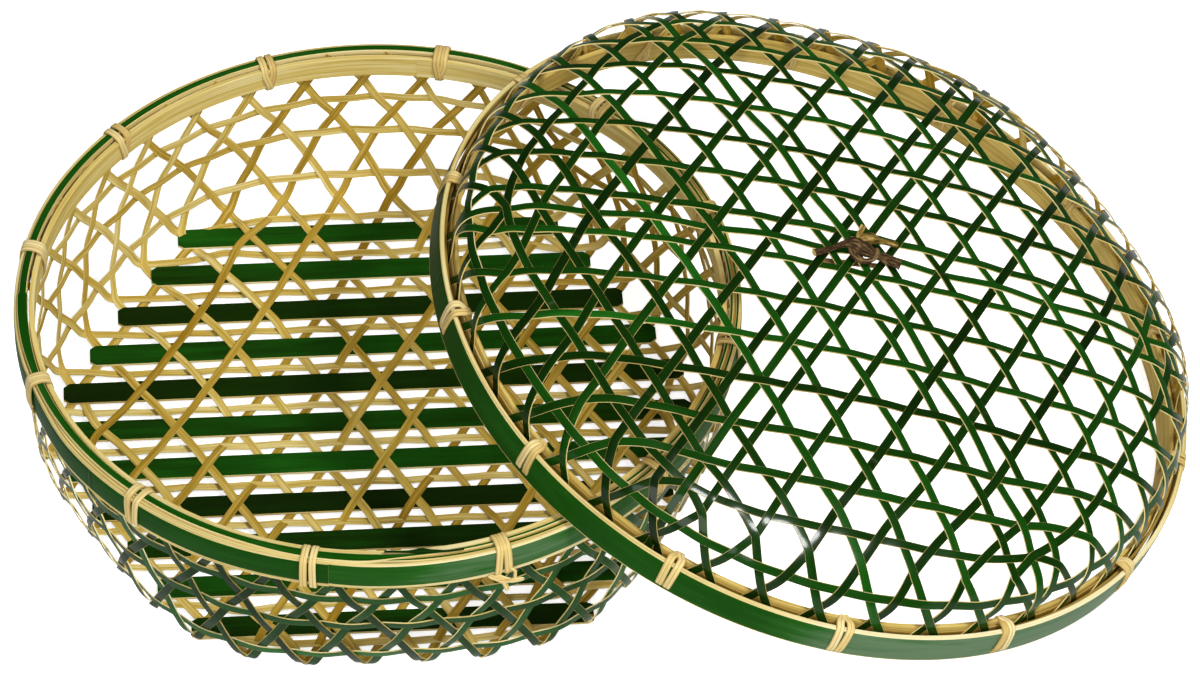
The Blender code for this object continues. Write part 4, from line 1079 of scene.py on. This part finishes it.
def lid_rim(matrix):
    hoop("lid_hoop_outer", "lid_outer_hoop", LID_OUTER_HOOP, LID_LAP, matrix, "lid", GREEN_HOOP,
         painted_sheen(*LID_PAINTED_SHEEN), 304, crown=HOOP_CROWN, edges=LID_EDGES)
    hoop("lid_hoop_inner", "lid_inner_hoop", LID_INNER_HOOP, LID_INNER_LAP, matrix, "lid", PALE_HOOP,
         0.42, 305, seen_inside=True)
    hoop("lid_mouth_strip", "lid_rim_cover", LID_COVER, LID_COVER_LAP, matrix, "lid", MOUTH_STRIP,
         0.40, 306)
    ring_band("lid_liner_outer", LID_OUTER_LINER, matrix, "lid", LINER, -0.15, 312, seed=43)
    ring_band("lid_liner_inner", LID_INNER_LINER, matrix, "lid", LINER, 0.05, 313, seed=44)
    g = TIE_GAP
    r_in, r_out, bottom, top = LID_OUTER_HOOP
    inner = LID_INNER_HOOP
    loop = [(r_out + 2.0 * g, bottom - g), (r_out + 2.0 * g, top + g),
            (r_in - 0.0014, LID_SHOULDER + 2.5 * g), (inner[1], inner[3] + g),
            (inner[0] - g, inner[3] + g), (inner[0] - g, inner[2] - g)]
    for index in range(LID_TIES):
        tie("lid", index, loop, LID_TIE_PHASE + 360.0 * index / LID_TIES, matrix, LID_PINCH, 700 + index)


# Handle

def vine(name, node, finish, tone, number, up, spots, matrix):
    """One vine of the knot tied through the top of the lid, along a smooth path."""
    spots = np.array(spots)
    keys = spots[:, :3] + np.array([0.0, 0.0, LID_SHOULDER + LID_DOME])
    at = np.arange(len(keys))
    fine = np.linspace(0.0, len(keys) - 1.0, 10 * (len(keys) - 1) + 1)
    padded = np.vstack([2.0 * keys[0] - keys[1], keys, 2.0 * keys[-1] - keys[-2]])
    i = np.minimum(fine.astype(int), len(keys) - 2)
    t = (fine - i)[:, None]
    p0, p1, p2, p3 = (padded[i + k] for k in range(4))
    points = 0.5 * (2.0 * p1 + (p2 - p0) * t + (2.0 * p0 - 5.0 * p1 + 4.0 * p2 - p3) * t ** 2
                    + (3.0 * p1 - p0 - 3.0 * p2 + p3) * t ** 3)
    centres = place(matrix, points)
    sides, tops = frames_along(centres, turned(matrix, np.array(up)))
    turn = np.linspace(0.0, TAU, VINE_SIDES, endpoint=False)
    ring = 1.0 + 0.08 * np.sin(3.0 * turn + 0.7)
    draw = np.random.default_rng(number)
    swell = 1.0 + 0.07 * np.sin(2.3 * fine + draw.uniform(0.0, TAU))
    lump = swell[:, None] + 0.03 * draw.standard_normal((len(fine), 1))
    radius = np.interp(fine, at, spots[:, 3])[:, None] * lump
    squeeze = np.interp(fine, at, spots[:, 4])[:, None]
    rows = np.stack([-np.cos(turn) * ring * radius, np.sin(turn) * ring * radius * squeeze], -1)
    sweep(name, centres, sides, tops, rows, finish, "lid", tone, number, (node,))


# Stage

def camera(middle):
    yaw, pitch, roll = (math.radians(a) for a in (CAMERA_YAW, CAMERA_PITCH, CAMERA_ROLL))
    ahead = Vector((math.sin(yaw) * math.cos(pitch), math.cos(yaw) * math.cos(pitch), math.sin(pitch)))
    right = Vector((math.cos(yaw), -math.sin(yaw), 0.0))
    up = right.cross(ahead)
    data = bpy.data.cameras.new("camera")
    data.lens = CAMERA_LENS
    data.sensor_width = SENSOR_WIDTH
    data.clip_start, data.clip_end = CAMERA_CLIP
    obj = linked(bpy.data.objects.new("camera", data))
    obj.matrix_world = frame_matrix(right * math.cos(roll) + up * math.sin(roll),
                                    up * math.cos(roll) - right * math.sin(roll), -ahead,
                                    Vector(CAMERA_PLACE) + middle)
    bpy.context.scene.camera = obj


def area_light(name, spot, size, power, in_gloss):
    data = bpy.data.lights.new(name, "AREA")
    data.shape = "DISK"
    data.size = size
    data.energy = power
    obj = linked(bpy.data.objects.new(name, data))
    obj.location = spot
    obj.rotation_euler = (Vector(LAMP_TARGET) - Vector(spot)).to_track_quat("-Z", "Y").to_euler()
    obj.visible_glossy = in_gloss


def floor():
    mesh = bpy.data.meshes.new("floor")
    corners = [(x * FLOOR_HALF, y * FLOOR_HALF, 0.0) for x, y in ((-1, -1), (1, -1), (1, 1), (-1, 1))]
    mesh.from_pydata(corners, [], [(0, 1, 2, 3)])
    obj = linked(bpy.data.objects.new("floor", mesh))
    obj.location.z = -FLOOR_DROP
    shader = surface_shader("floor_white")
    glow = shader.math("MULTIPLY", shader.ray("Is Glossy Ray"), GLOSSY_GLOW)
    glow = shader.math("MAXIMUM", shader.ray("Is Camera Ray"), glow)
    mesh.materials.append(shader.finished({
        "Base Color": (FLOOR_WHITE, FLOOR_WHITE, FLOOR_WHITE, 1.0), "Roughness": FLOOR_ROUGHNESS,
        "Emission Color": (1.0, 1.0, 1.0, 1.0),
        "Emission Strength": shader.math("MULTIPLY", glow, FLOOR_GLOW)}))


def world():
    shader = Shader(bpy.data.worlds.new("studio"), "Background")
    light = shader.span(shader.ray("Is Camera Ray"), 0.0, 1.0, WORLD_LIGHT, 1.0)
    dim = shader.span(shader.ray("Is Glossy Ray"), 0.0, 1.0, 1.0, GLOSSY_WORLD)
    bpy.context.scene.world = shader.finished({"Color": (1.0, 1.0, 1.0, 1.0),
                                               "Strength": shader.math("MULTIPLY", light, dim)})


def strip_lines(count):
    """Places of the strips of one family, in pitches from the middle."""
    return [i + 0.5 for i in range(-(count // 2), count // 2)]


def build():
    middle = (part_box("base_outer_hoop")[0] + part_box("base_outer_hoop")[1]) / 2.0
    middle.z = 0.0
    base_matrix = Matrix.Translation(middle)
    lid_matrix = hoop_frame("lid_outer_hoop", LID_OUTER_HOOP[3])
    base = base_shell(base_matrix)
    lid = lid_shell(lid_matrix)
    weave(base, "base", strip_lines(BASE_STRIPS), BASE_TONES, over_slat)
    ring_strips(base, "base", BASE_RINGS, BASE_RING_TONES)
    slats(base)
    base_rim(base_matrix)
    weave(lid, "lid", sorted(strip_lines(LID_STRIPS) + [0.0]), LID_TONES)
    ring_strips(lid, "lid", LID_RINGS, LID_RING_TONES)
    lid_rim(lid_matrix)
    for parts in KNOT:
        vine(*parts, lid_matrix)
    camera(middle)
    for lamp in LAMPS:
        area_light(*lamp)
    floor()
    world()
    bpy.context.scene.view_settings.view_transform = "Standard"


build()
